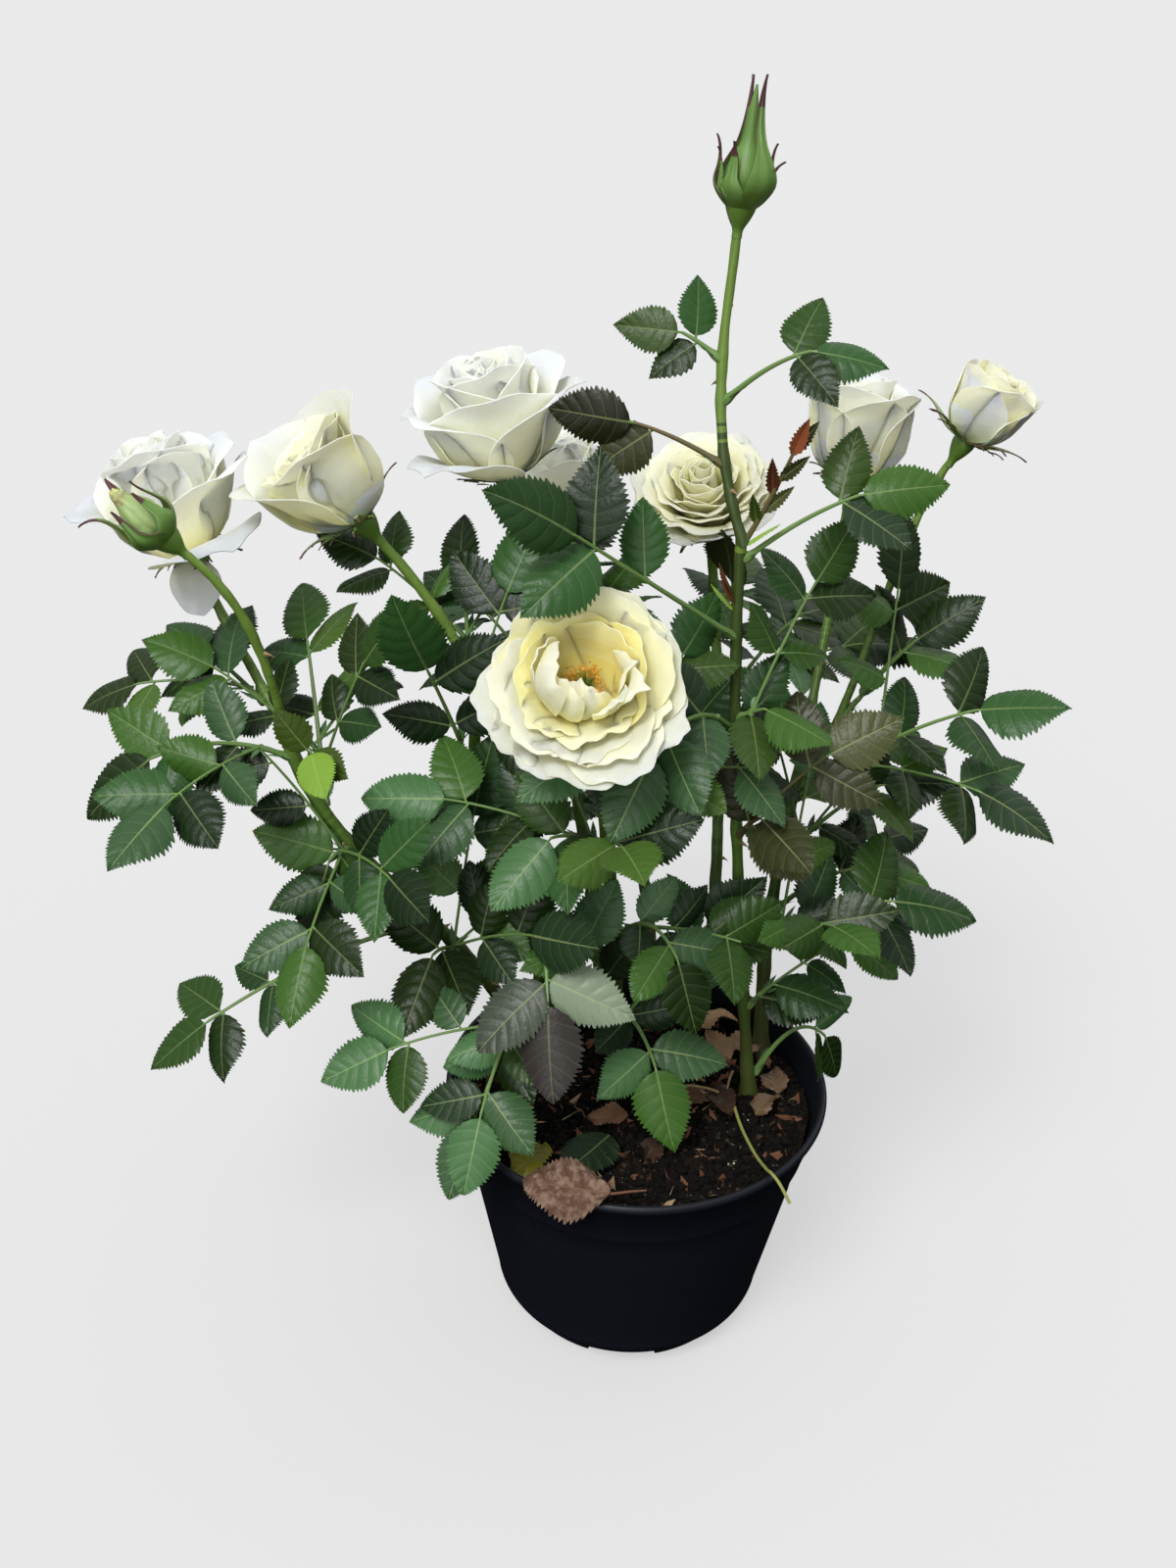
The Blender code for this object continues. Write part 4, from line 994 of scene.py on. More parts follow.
ROSES = (
    Rose("left_rose", "left_rose_stalk", (15, (80, 100, 125)),
         22, (25, 28), (8, 17), (30, -4, -8, -34), (64, 10, -4, 30), 1.3, (0.25, 0.85, 0.5, 1.0),
         whorl((8, 27, 20, (72, 14, -6, 24), dict(roll=16, point=0, ruffle=0.9, tones=(0.30, 0.92))),
               (72, 28, 19, (80, 36, 26, 92), dict(roll=24, ruffle=1.5)),
               (130, 28, 19, (74, 24, 14, 84), dict(roll=26, ruffle=1.4)),
               (200, 29, 20, (72, 18, 8, 74), dict(roll=22, ruffle=1.3)),
               (285, 28, 19, (80, 34, 26, 90), dict(roll=26, ruffle=1.5)),
               (352, 14, 7, (105, 150, 172, 178), dict(roll=10, curl=0.5, point=0.05, ruffle=0.8)),
               (40, 24, 15, (90, 66, 70, 125), dict(roll=20, point=0.05, ruffle=1.1)),
               point=0.01), size=1.45),
    Rose("mid_left_rose", "mid_left_stalk", (22, (75, 60, 100)),
         17, (20, 25), (7, 14), (34, 0, -8, -34), (64, 14, 4, 44), 1.2, (0.08, 0.52, 0.20, 0.74),
         whorl((350, 26, 21, (84, 22, -2, 30),
                dict(roll=26, slant=0.12, point=0, tones=(0.15, 0.66), green=0.35)),
               (228, 30, 17, (60, 18, 8, 50), dict(roll=20, point=0.08, flat=1.7, tones=(0.2, 0.78))),
               (138, 30, 17, (60, 20, 10, 56),
                dict(roll=16, shoulder=0.04, point=0, flat=1.8, tones=(0.25, 0.8))),
               (286, 29, 17, (68, 26, 18, 54), dict(roll=28, point=0.04, tones=(0.2, 0.74))),
               (70, 27, 16, (60, 18, 2, 40), dict(roll=24, tones=(0.15, 0.66), green=0.7))),
         turn=40, hip=4.4, size=1.32),
    Rose("back_left_rose", "back_left_cane", (17, (80, 60, 60)),
         24, (26, 28), (8, 16), (30, -5, -8, -32), (62, 10, -2, 36), 1.3, (0.25, 0.85, 0.5, 1.0),
         whorl((10, 28, 20, (76, 32, 10, 46), dict(roll=16, point=0, ruffle=1.3, green=0.3)),
               (300, 28, 18, (78, 32, 18, 88), dict(roll=28, ruffle=1.3)),
               (72, 28, 18, (78, 36, 22, 80), dict(roll=26)),
               (322, 24, 15, (88, 56, 44, 104), dict(roll=16, point=0.05, ruffle=1.2, green=0.2)),
               (140, 29, 19, (74, 24, 12, 80), dict(roll=24)),
               (220, 29, 19, (74, 24, 12, 78), dict(roll=24)),
               point=0.01, ruffle=1.4), turn=15, hip=4.4, size=1.42),
    Rose("back_rose", "back_cane", (16, (80, 90, 120)),
         16, (20, 25), (7, 14), (30, -5, -8, -30), (62, 12, 4, 46), 1.3, (0.3, 0.9, 0.6, 1.0),
         whorl((20, 24, 15, (78, 32, 20, 62), {}), (295, 24, 15, (80, 40, 30, 80), {}),
               (120, 24, 15, (78, 34, 24, 80), {}), (205, 24, 15, (78, 34, 24, 76), {}),
               point=0.01, ruffle=1.3), size=1.25),
    Rose("back_right_rose", "back_right_cane", (14, (85, 120, 145)),
         34, (19, 22), (7, 14), (24, 4, -6, -16), (86, 44, 40, 92), 0.8, (0.06, 0.58, 0.14, 0.74),
         hip=3.6, size=1.3, point=0.0, shoulder=0.10),
    Rose("open_rose", "front_cane", (16, (95, 110, 140))),
    Rose("right_rose", "right_inner_stalk", (14, (70, 60, 100)),
         14, (22, 25), (7, 14), (28, -4, -8, -22), (58, 8, -4, 12), 1.2, (0.2, 0.8, 0.3, 0.9),
         whorl((335, 26, 18, (72, 20, -2, 40), dict(roll=26, green=0.4)),
               (48, 26, 17, (72, 22, 2, 52), dict(roll=28, green=0.4)),
               (172, 27, 18, (66, 16, 4, 34), dict(roll=22, tones=(0.25, 0.95))),
               (262, 26, 17, (72, 22, 2, 44), dict(roll=26, green=0.5)),
               (112, 26, 17, (70, 22, 6, 46), dict(roll=26, tones=(0.25, 0.95))),
               point=0.01, tones=(0.22, 0.9)), turn=70, size=1.4),
    Rose("right_small_rose", "right_outer_stalk", (21, (75, 62, 88)),
         15, (16, 18.5), (5.5, 10), (28, -4, -8, -20), (60, 14, -2, 20), 1.2, (0.1, 0.5, 0.18, 0.64),
         whorl((300, 18, 12, (72, 26, 2, 14), dict(roll=18, tones=(0.15, 0.6), green=0.9, ruffle=0.6)),
               (15, 18, 12, (72, 26, 4, 26), dict(green=0.5)),
               (95, 18, 12, (72, 28, 6, 34), dict(green=0.3)),
               (200, 18, 12, (70, 24, 6, 26), dict(tones=(0.15, 0.7))),
               roll=20, point=0.01, tones=(0.15, 0.66), ruffle=1.0), hip=3.6, size=1.4),
)


def add_hip(shape, matrix, stalk, hip):
    """The swollen green cup that a bloom's petals and sepals grow from."""
    profile = smooth_curve([(stalk, -2), (stalk * 1.04, 0.2), (stalk + (hip - stalk) * 0.55, 2.8),
                            (hip * 0.98, 5.4), (hip * 1.04, 7.0), (hip * 0.95, NECK),
                            (hip * 0.7, NECK + 1.0)], 16)
    add_turned(shape, matrix, [(0, -2), *profile, (0, NECK + 1.0)], 18, "hip")


PLAIN = dict(roll=0, curl=0, shoulder=0, slant=0, point=0)
SEPALS = 5
FIRST_SEPAL = 20            # its azimuth
SEPAL_HALF_WIDTH = 3.1
LOBE_PLACES = (0.22, 0.42)  # shares of a sepal's length
LOBE_TURN = 14              # degrees round the axis


def sepal_back(share):
    return "sepal_tip" if share > 0.82 else "sepal"


def sepal_front(share):
    return "sepal_tip" if share > 0.88 else "sepal_inside"


def add_lobes(shape, matrix, rng, sepal):
    """Two small side lobes on each side of a sepal."""
    radius, height = sepal.foot
    lean = math.radians(sepal.angles[0])
    for sign in (-1, 1):
        for share in LOBE_PLACES:
            along = sepal.length * share
            foot = (radius + along * math.sin(lean), height + along * math.cos(lean))
            lobe = sepal._replace(azimuth=sepal.azimuth + sign * LOBE_TURN, length=sepal.length * 0.3,
                                  half_width=1.0, foot=foot, angles=sepal.angles[1:])
            add_petal(shape, matrix, lobe, rng, sepal_back, sepal_back, 5, 6)


def add_sepals(shape, matrix, rng, length, angles, hip):
    """Five sepals. Three have small side lobes, as on a real rose."""
    for k in range(SEPALS):
        azimuth = 360 / SEPALS * k + FIRST_SEPAL + rng.uniform(-10, 10)
        bends = tuple(angle + rng.uniform(-16, 16) for angle in angles)
        size = length * rng.uniform(0.85, 1.05)
        sepal = Petal(azimuth, size, SEPAL_HALF_WIDTH, bends, (hip * 0.8, NECK - 0.6), **PLAIN,
                      flat=1.6, ruffle=0.3, outline=SEPAL_OUTLINE, thickness=0.3)
        add_petal(shape, matrix, sepal, rng, sepal_front, sepal_back, 7, 14)
        if k % 2 == 0:
            add_lobes(shape, matrix, rng, sepal)


def spiral_petals(rose, rng):
    """The rose's inner petals, each turned by the golden angle, opening from its heart outwards."""
    for i in range(rose.petals):
        t = i / (rose.petals - 1)
        share = t ** rose.opening
        angles = tuple(angle + rng.uniform(-4, 4) for angle in mixed(rose.inner, rose.outer, share))
        length = between(*rose.lengths, t) * rng.uniform(0.95, 1.04)
        half = between(*rose.widths, t) * rng.uniform(0.92, 1.06)
        yield Petal(math.degrees(i * GOLDEN_ANGLE) + rose.turn, length, half, angles,
                    (0.6 + rose.hip * 0.6 * t, NECK), roll=12 + 16 * t, curl=1.2 + 0.4 * t,
                    flat=1.05 + 0.3 * t, shoulder=rose.shoulder, point=rose.point,
                    ruffle=0.4 + 0.7 * t, tones=mixed(rose.tones[:2], rose.tones[2:], t))


def make_rose(rose, path):
    rng = random.Random(rose.name)
    matrix, stalk = bloom_frame(path)
    petals, greens = Shape(), Shape()
    for petal in (*spiral_petals(rose, rng), *rose.outer_petals):
        petal = petal._replace(length=petal.length * rose.size, half_width=petal.half_width * rose.size)
        front, back = petal_looks(petal, rng)
        add_petal(petals, matrix, petal, rng, front, back)
    if rose.name == "open_rose":
        add_open_heart(petals, greens, matrix, rng)
    add_hip(greens, matrix, stalk, rose.hip)
    add_sepals(greens, matrix, rng, *rose.sepals, rose.hip)
    make_piece(rose.name + "_petals", petals, "petal_cream", rose.name, sharp=75)
    make_piece(rose.name + "_sepals", greens, "bud_green")


# Layers of the open rose from outside to inside: first and last azimuth, count, length, half width,
# angles, tones and ruffle. Its back and right are broad petals, and its foot and left are frilled.
OPEN_LAYERS = (
    (90, 245, 4, 27.5, 19.5, (90, 84, 70, 60), (0.20, 0.58), 0.9),
    (262, 432, 6, 28, 15, (90, 86, 72, 84), (0.26, 0.66), 1.2),
    (108, 236, 3, 26, 18.5, (88, 74, 54, 44), (0.10, 0.50), 1.0),
    (252, 440, 6, 25, 14, (88, 76, 56, 72), (0.20, 0.62), 1.2),
    (80, 280, 4, 22, 16, (86, 60, 34, 26), (0.02, 0.36), 1.0),
    (285, 415, 4, 20, 12, (88, 66, 40, 54), (0.06, 0.48), 1.2),
)
OPEN_FLOOR = 9.0
STAMENS = 120
PISTILS = 30
# Folded petaloids round its throat: azimuth, length, half width, angles, curl and distance from
# the axis.
OPEN_PETALOIDS = (
    (276, 25, 12.5, (58, 14, -16, -74), 0.7, 8.0), (312, 21, 10, (62, 18, -24, -62), 1.0, 7.0),
    (248, 20, 9, (62, 24, 0, -30), 1.2, 8.4),
    (72, 21, 8.5, (60, 22, 2, 72), 3.4, 7.5), (98, 18, 7, (58, 12, -6, 52), 3.4, 7.6),
    (46, 20, 7, (64, 26, -8, 60), 3.4, 6.4), (350, 19, 7, (66, 24, -46, -78), 2.6, 5.6),
    (22, 17, 6, (68, 30, -26, -62), 2.8, 5.6),
)


def flat_heading(azimuth):
    return Vector((math.cos(azimuth), math.sin(azimuth), 0))


def open_petals(rng):
    """The petals of the open rose, layer by layer, and then its petaloids."""
    for first, last, count, length, half, angles, tones, ruffle in OPEN_LAYERS:
        for k in range(count):
            azimuth = first + (last - first) * (k + 0.5) / count + rng.uniform(-6, 6)
            bends = tuple(angle + rng.uniform(-8, 8) for angle in angles)
            yield Petal(azimuth, length * rng.uniform(0.92, 1.06), half * rng.uniform(0.9, 1.1),
                        bends, (2.0, OPEN_FLOOR - 1.0), roll=18, curl=0.9, flat=1.6, shoulder=0.12,
                        slant=rng.uniform(-0.08, 0.08), point=0, ruffle=ruffle, tones=tones)
    for azimuth, length, half, angles, curl, distance in OPEN_PETALOIDS:
        yield Petal(azimuth, length, half, angles, (distance, OPEN_FLOOR - 0.4), roll=40, curl=curl,
                    flat=0.9, shoulder=0.2, point=0.08, ruffle=0.8, tones=(0.08, 0.60))


def add_thread(shape, matrix, foot, top, bow, radii, look):
    """A fine bowed thread from foot to top, and where it ends."""
    points = [matrix @ bowed(foot, top, bow, t / 3) for t in range(4)]
    add_tube(shape, points, radii, 4, look)
    return points[-1]


def add_open_heart(petals, greens, matrix, rng):
    """The open rose: layers of petals round a throat with stamens, pistils and folded petaloids."""
    for petal in open_petals(rng):
        front, back = petal_looks(petal, rng)
        add_petal(petals, matrix, petal, rng, front, back, 17, 17)
    floor = Vector((0, 0, OPEN_FLOOR))
    for _ in range(STAMENS):
        out = flat_heading(rng.uniform(0, math.tau))
        foot = floor + out * rng.uniform(2.4, 5.0)
        top = foot + out * rng.uniform(0.2, 2.6) + UP * rng.uniform(3.0, 6.0)
        end = add_thread(greens, matrix, foot, top, 0.8, (0.16, 0.14, 0.13, 0.12), "stamen")
        add_crumb(greens, rng, end, rng.uniform(0.45, 0.7), "anther", (1.4, 0.6, 0.6))
    for _ in range(PISTILS):
        out = flat_heading(rng.uniform(0, math.tau))
        lean = rng.uniform(0.1, 1.6)
        foot = floor + out * lean * 0.9
        top = foot + out * lean * 1.6 + UP * rng.uniform(5, 9)
        add_thread(greens, matrix, foot, top, 0.5, (0.45, 0.36, 0.26, 0.10), "pistil")


class Bud(NamedTuple):
    """A bud on the tip of a limb. Each sepal is azimuth, length, half width and angles."""
    name: str
    host: str
    core: tuple        # radius and height of the closed petals
    green: bool        # whether the core is hidden, so it wears green
    sepals: tuple
    hip: float
    beak: float = 0.0  # how far the core is drawn out, as a share of its height


BUD_PETALS = 6
BUD_PETAL_TURN = 137.5      # degrees from one to the next
BUDS = (
    Bud("top_bud", "tall_shoot", (5.6, 17), True, (
        (35, 37.5, 5.6, (50, 34, -22, -30, -10, 0, 14)),
        (200, 37, 5.6, (50, 34, -22, -30, -12, 0, 4)),
        (100, 19, 5.2, (50, 34, -14, -4, 24)), (262, 20, 5.2, (50, 34, -16, 4, 30)),
        (330, 19, 5.2, (50, 34, -14, 0, 34)), (60, 16, 3.0, (52, 34, 0, 30, 60)),
        (300, 17, 2.6, (52, 34, -8, 14, 30))), 4.2, 0.75),
    Bud("left_bud", "left_bud_stalk", (5.4, 17), False, (
        (200, 26, 6.0, (52, 34, -14, -16, 10, 40, 70)), (290, 25, 5.8, (54, 36, -8, -6, 16, 50, 90)),
        (345, 19, 6.0, (56, 36, -10, -14, 4)), (60, 18, 6.0, (54, 34, -14, -16, 2)),
        (130, 20, 6.0, (52, 32, -16, -20, 0))), 4.2),
)


def bud_petal_look(share):
    return "bud_core" if share < 0.85 else "petal_back_2"


def bud_sepal_look(share):
    return "sepal_tip" if share > 0.78 else ("hip" if share < 0.16 else "sepal")


def bud_profile(bud):
    """The outline of a bud's core, from the hip to its tip."""
    radius, height = bud.core
    top = NECK + height
    beak = bud.beak * height
    core = smooth_curve([(bud.hip * 0.8, NECK - 1), (radius * 0.9, NECK + height * 0.2),
                         (radius, NECK + height * 0.4), (radius * 0.72, NECK + height * 0.68),
                         (radius * 0.38, NECK + height * 0.92), (radius * 0.24, top + beak / 2),
                         (0.3, top + beak)], 22)
    return [(0, NECK - 1), *core, (0, top + beak)]


def make_bud(bud, path):
    """A closed bud: petals in a twisted cone, held by sepals that narrow to long tips."""
    rng = random.Random(bud.name)
    matrix, stalk = bloom_frame(path)
    greens, petals = Shape(), Shape()
    add_hip(greens, matrix, stalk, bud.hip)
    radius, height = bud.core
    core = bud_profile(bud)
    if bud.green:
        add_turned(greens, matrix, core, 20, "sepal")
    else:
        add_turned(petals, matrix, core, 20, "bud_core")
        for i in range(BUD_PETALS):
            petal = Petal(i * BUD_PETAL_TURN, height * 1.12, radius * 1.25, (64, 8, -28, -22),
                          (1.8, NECK), roll=10, curl=0.4, flat=1.0, shoulder=0.3, point=0.1,
                          ruffle=0.15)
            add_petal(petals, matrix, petal, rng, bud_petal_look, bud_petal_look, 11, 12)
    for azimuth, length, half, angles in bud.sepals:
        sepal = Petal(azimuth, length, half, angles, (bud.hip * 0.98, NECK - 2), **PLAIN,
                      flat=1.02, ruffle=0.12, outline=BUD_OUTLINE, thickness=0.4)
        add_petal(greens, matrix, sepal, rng, bud_sepal_look, bud_sepal_look, 9, 24)
    make_piece(bud.name + "_sepals", greens, "bud_green", bud.name)
    if petals.faces:
        make_piece(bud.name + "_petals", petals, "petal_cream")


def make_blooms(paths):
    for rose in ROSES:
        make_rose(rose, paths[rose.host])
    for bud in BUDS:
        make_bud(bud, paths[bud.host])


# ---------------------------------------------------------------- leaves

class Grid(NamedTuple):
    """Rows across a leaflet's blade, and the faces between them, with their parts."""
    along: np.ndarray     # where each row leaves the midrib
    ridge: np.ndarray     # how far each row is from one side vein to the next
    tooth: np.ndarray     # whether each row ends in a tooth
    faces: list
    parts: list           # top, groove, under or vein for each face


VEIN_SHARE = 0.10         # of the way from one side vein to the next
COLUMNS = 8               # six on the upper face from margin to margin, and two under the midrib


def blade_rows(segments, teeth):
    """Rows of a blade: share of its length, place between side veins, whether it ends in a tooth."""
    rows = []
    steps = 2 * teeth
    for segment in range(segments):
        marks = [0.0, VEIN_SHARE]
        marks += [VEIN_SHARE + (1 - VEIN_SHARE) * k / steps for k in range(1, steps)]
        for k, mark in enumerate(marks):
            rows.append(((segment + mark) / segments, mark, k < 2 or k % 2 == 1))
    rows.append((1.0, 0.0, False))
    return rows


def blade_grid(segments, teeth):
    """A blade with a side vein at each segment's start, and teeth along its margin."""
    rows = blade_rows(segments, teeth)
    along, ridge, tooth = (np.array(column) for column in zip(*rows))
    faces, parts = [], []
    for i in range(len(rows) - 1):
        a, b = i * COLUMNS, (i + 1) * COLUMNS
        on_vein = ridge[i] == 0 and i > 0
        for c in range(5):
            faces.append([a + c, a + c + 1, b + c + 1, b + c])
            parts.append("vein" if c == 2 else "groove" if on_vein else "top")
        for left, right in ((0, 6), (6, 7), (7, 5)):
            faces.append([b + left, b + right, a + right, a + left])
            parts.append("vein" if left == 6 else "under")
    last = (len(rows) - 1) * COLUMNS
    faces.append([5, 4, 3, 2, 1, 0, 6, 7])
    faces.append([last + c for c in (0, 1, 2, 3, 4, 5, 7, 6)])
    return Grid(along, ridge, tooth, faces, parts + ["vein", "vein"])


LARGE_BLADE = blade_grid(7, 3)
SMALL_BLADE = blade_grid(6, 2)
LARGE_FROM = 17           # millimetres
# Shares of a leaflet's length, apart from ROUNDNESS, the power with which its foot widens.
MIDRIB = 0.014
MIDRIB_GROOVE = 0.004
MIDRIB_KEEL = 0.022
VEIN_LEAD = 0.75
TOOTH = 0.030
QUILT = 0.017
ROUNDNESS = 0.62


class Form(NamedTuple):
    """How one leaflet is bent, in shares of its length."""
    width: float = 0.34
    fold: float = 0.26
    droop: float = 0.16
    curl: float = 0.5      # how much its sides bend down again
    twist: float = 0.0
    wave: float = 0.01
    quilt: float = QUILT
    taper: float = 0.9     # over 1, its tip is drawn out


def blade_corners(grid, form, phase):
    """Corners of a leaflet of length 1 along Y with its upper face to +Z, COLUMNS in each row."""
    along = grid.along
    edge = along + VEIN_LEAD * along * (1 - along)
    widest = ROUNDNESS / (ROUNDNESS + form.taper)
    shape = edge ** ROUNDNESS * (1 - edge) ** form.taper
    half = form.width * shape / (widest ** ROUNDNESS * (1 - widest) ** form.taper)
    rib = MIDRIB * (1 - 0.75 * along)
    serration = TOOTH * np.sqrt(np.maximum(half, 0) / form.width)
    margin = np.maximum(half + np.where(grid.tooth, serration, -0.6 * serration), rib * 1.3)
    forward = np.where(grid.tooth, 0.35, -0.2) * serration
    x = np.stack([-margin, -half / 2 - rib, -rib, rib, half / 2 + rib, margin,
                  -rib * 1.4, rib * 1.4], axis=1)
    midway = along + (edge - along) * 0.42
    tip = edge + forward
    reach = np.stack([tip, midway, along, along, midway, tip, along, along], axis=1)
    z = form.fold * np.abs(x) - form.curl * x * x / form.width - form.droop * reach ** 2
    bulge = form.quilt * np.sin(math.pi * grid.ridge)
    z[:, 1] += bulge
    z[:, 4] += bulge
    z[:, 0] += form.wave * np.sin(9 * edge + phase)
    z[:, 5] += form.wave * np.sin(9 * edge + phase + 2)
    z[:, 2:4] -= MIDRIB_GROOVE
    z[:, 6:8] -= MIDRIB_KEEL * (1 - 0.6 * along)[:, None]
    angle = form.twist * reach
    return np.stack([x * np.cos(angle) - z * np.sin(angle), reach,
                     x * np.sin(angle) + z * np.cos(angle)], axis=2).reshape(-1, 3)


def add_blade(shape, base, direction, normal, length, kind, shade, form, phase=0.0):
    """A leaflet from its base along its direction, its upper face to its normal."""
    grid = LARGE_BLADE if length > LARGE_FROM else SMALL_BLADE
    corners = blade_corners(grid, form, phase) * length
    axes = np.array([direction.cross(normal), direction, normal])
    corners = corners @ axes + np.array(base)
    names = {part: f"{kind}_{part}_{shade}" for part in ("top", "under", "groove", "vein")}
    shape.add(corners.tolist(), grid.faces, [names[part] for part in grid.parts])


# ---------------------------------------------------------------- sprays of leaves

class Piece(NamedTuple):
    """The corners, in millimetres, and faces of one closed shape."""
    corners: list
    faces: list


class Occupied:
    """What already stands in the bush, so that later leaves can keep clear of it."""

    def __init__(self):
        self.trees = []

    def add(self, *pieces):
        self.trees += [BVHTree.FromPolygons(piece.corners, piece.faces) for piece in pieces]

    def touches(self, piece):
        tree = BVHTree.FromPolygons(piece.corners, piece.faces)
        return any(tree.overlap(other) for other in self.trees)


def node_piece(name):
    """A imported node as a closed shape, in millimetres."""
    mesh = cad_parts[name].data
    return Piece([vertex.co / MM for vertex in mesh.vertices],
                 [list(face.vertices) for face in mesh.polygons])


def lens(rim, middle, half):
    """A closed blade: a rim of corners joined to a point on each side of its middle."""
    count = len(rim)
    faces = []
    for k in range(count):
        faces.append([k, (k + 1) % count, count])
        faces.append([(k + 1) % count, k, count + 1])
    return Piece(rim + [middle + half, middle - half], faces)


def leaflet(base, direction, normal, length, root=0.0, swell=0.0):
    """The room of a leaflet: a folded, drooping blade of eight faces."""
    side = direction.cross(normal)

    def place(along, across):
        bend = LEAF_FOLD * abs(across) - LEAF_DROOP * max(along, 0) ** 2
        return base + (direction * along + side * across + normal * bend) * length

    grow = swell / length
    half = LEAF_HALF_WIDTH + grow
    rim = [place(root or -LEAF_SINK / length, 0), place(LEAF_WIDEST, half),
           place(1 + grow, 0), place(LEAF_WIDEST, -half)]
    middle = place(LEAF_WIDEST - 0.05, 0)
    return lens(rim, middle, normal * (LEAF_THICKNESS * length / 2 + swell))


def twig_room(points, radius):
    """The room of a twig: a thin tube along points."""
    shape = Shape()
    add_tube(shape, points, [radius] * len(points), TWIG_SIDES, "twig")
    return Piece(shape.corners, shape.faces)


def bowed(start, reach, arch, t):
    """A line from start to reach that rises by arch halfway."""
    return start.lerp(reach, t) + UP * arch * 4 * t * (1 - t)


def facing_of(spray, point):
    """The way leaf blades face: up, and out from the middle of the bush."""
    if spray.facing:
        return Vector(spray.facing)
    outward = (point.xy - HEART.xy).normalized().to_3d()
    return outward * 0.5 + LIGHT


class Leaf(NamedTuple):
    """Where a leaflet grows, the ways its tip and its upper face point, and its length."""
    base: Vector
    direction: Vector
    normal: Vector
    length: float


class Stalk(NamedTuple):
    """A twig or leaf stalk on a bowed line."""
    start: Vector
    reach: Vector
    arch: float
    end: float        # share of the way to the reach where the stalk ends
    radii: tuple


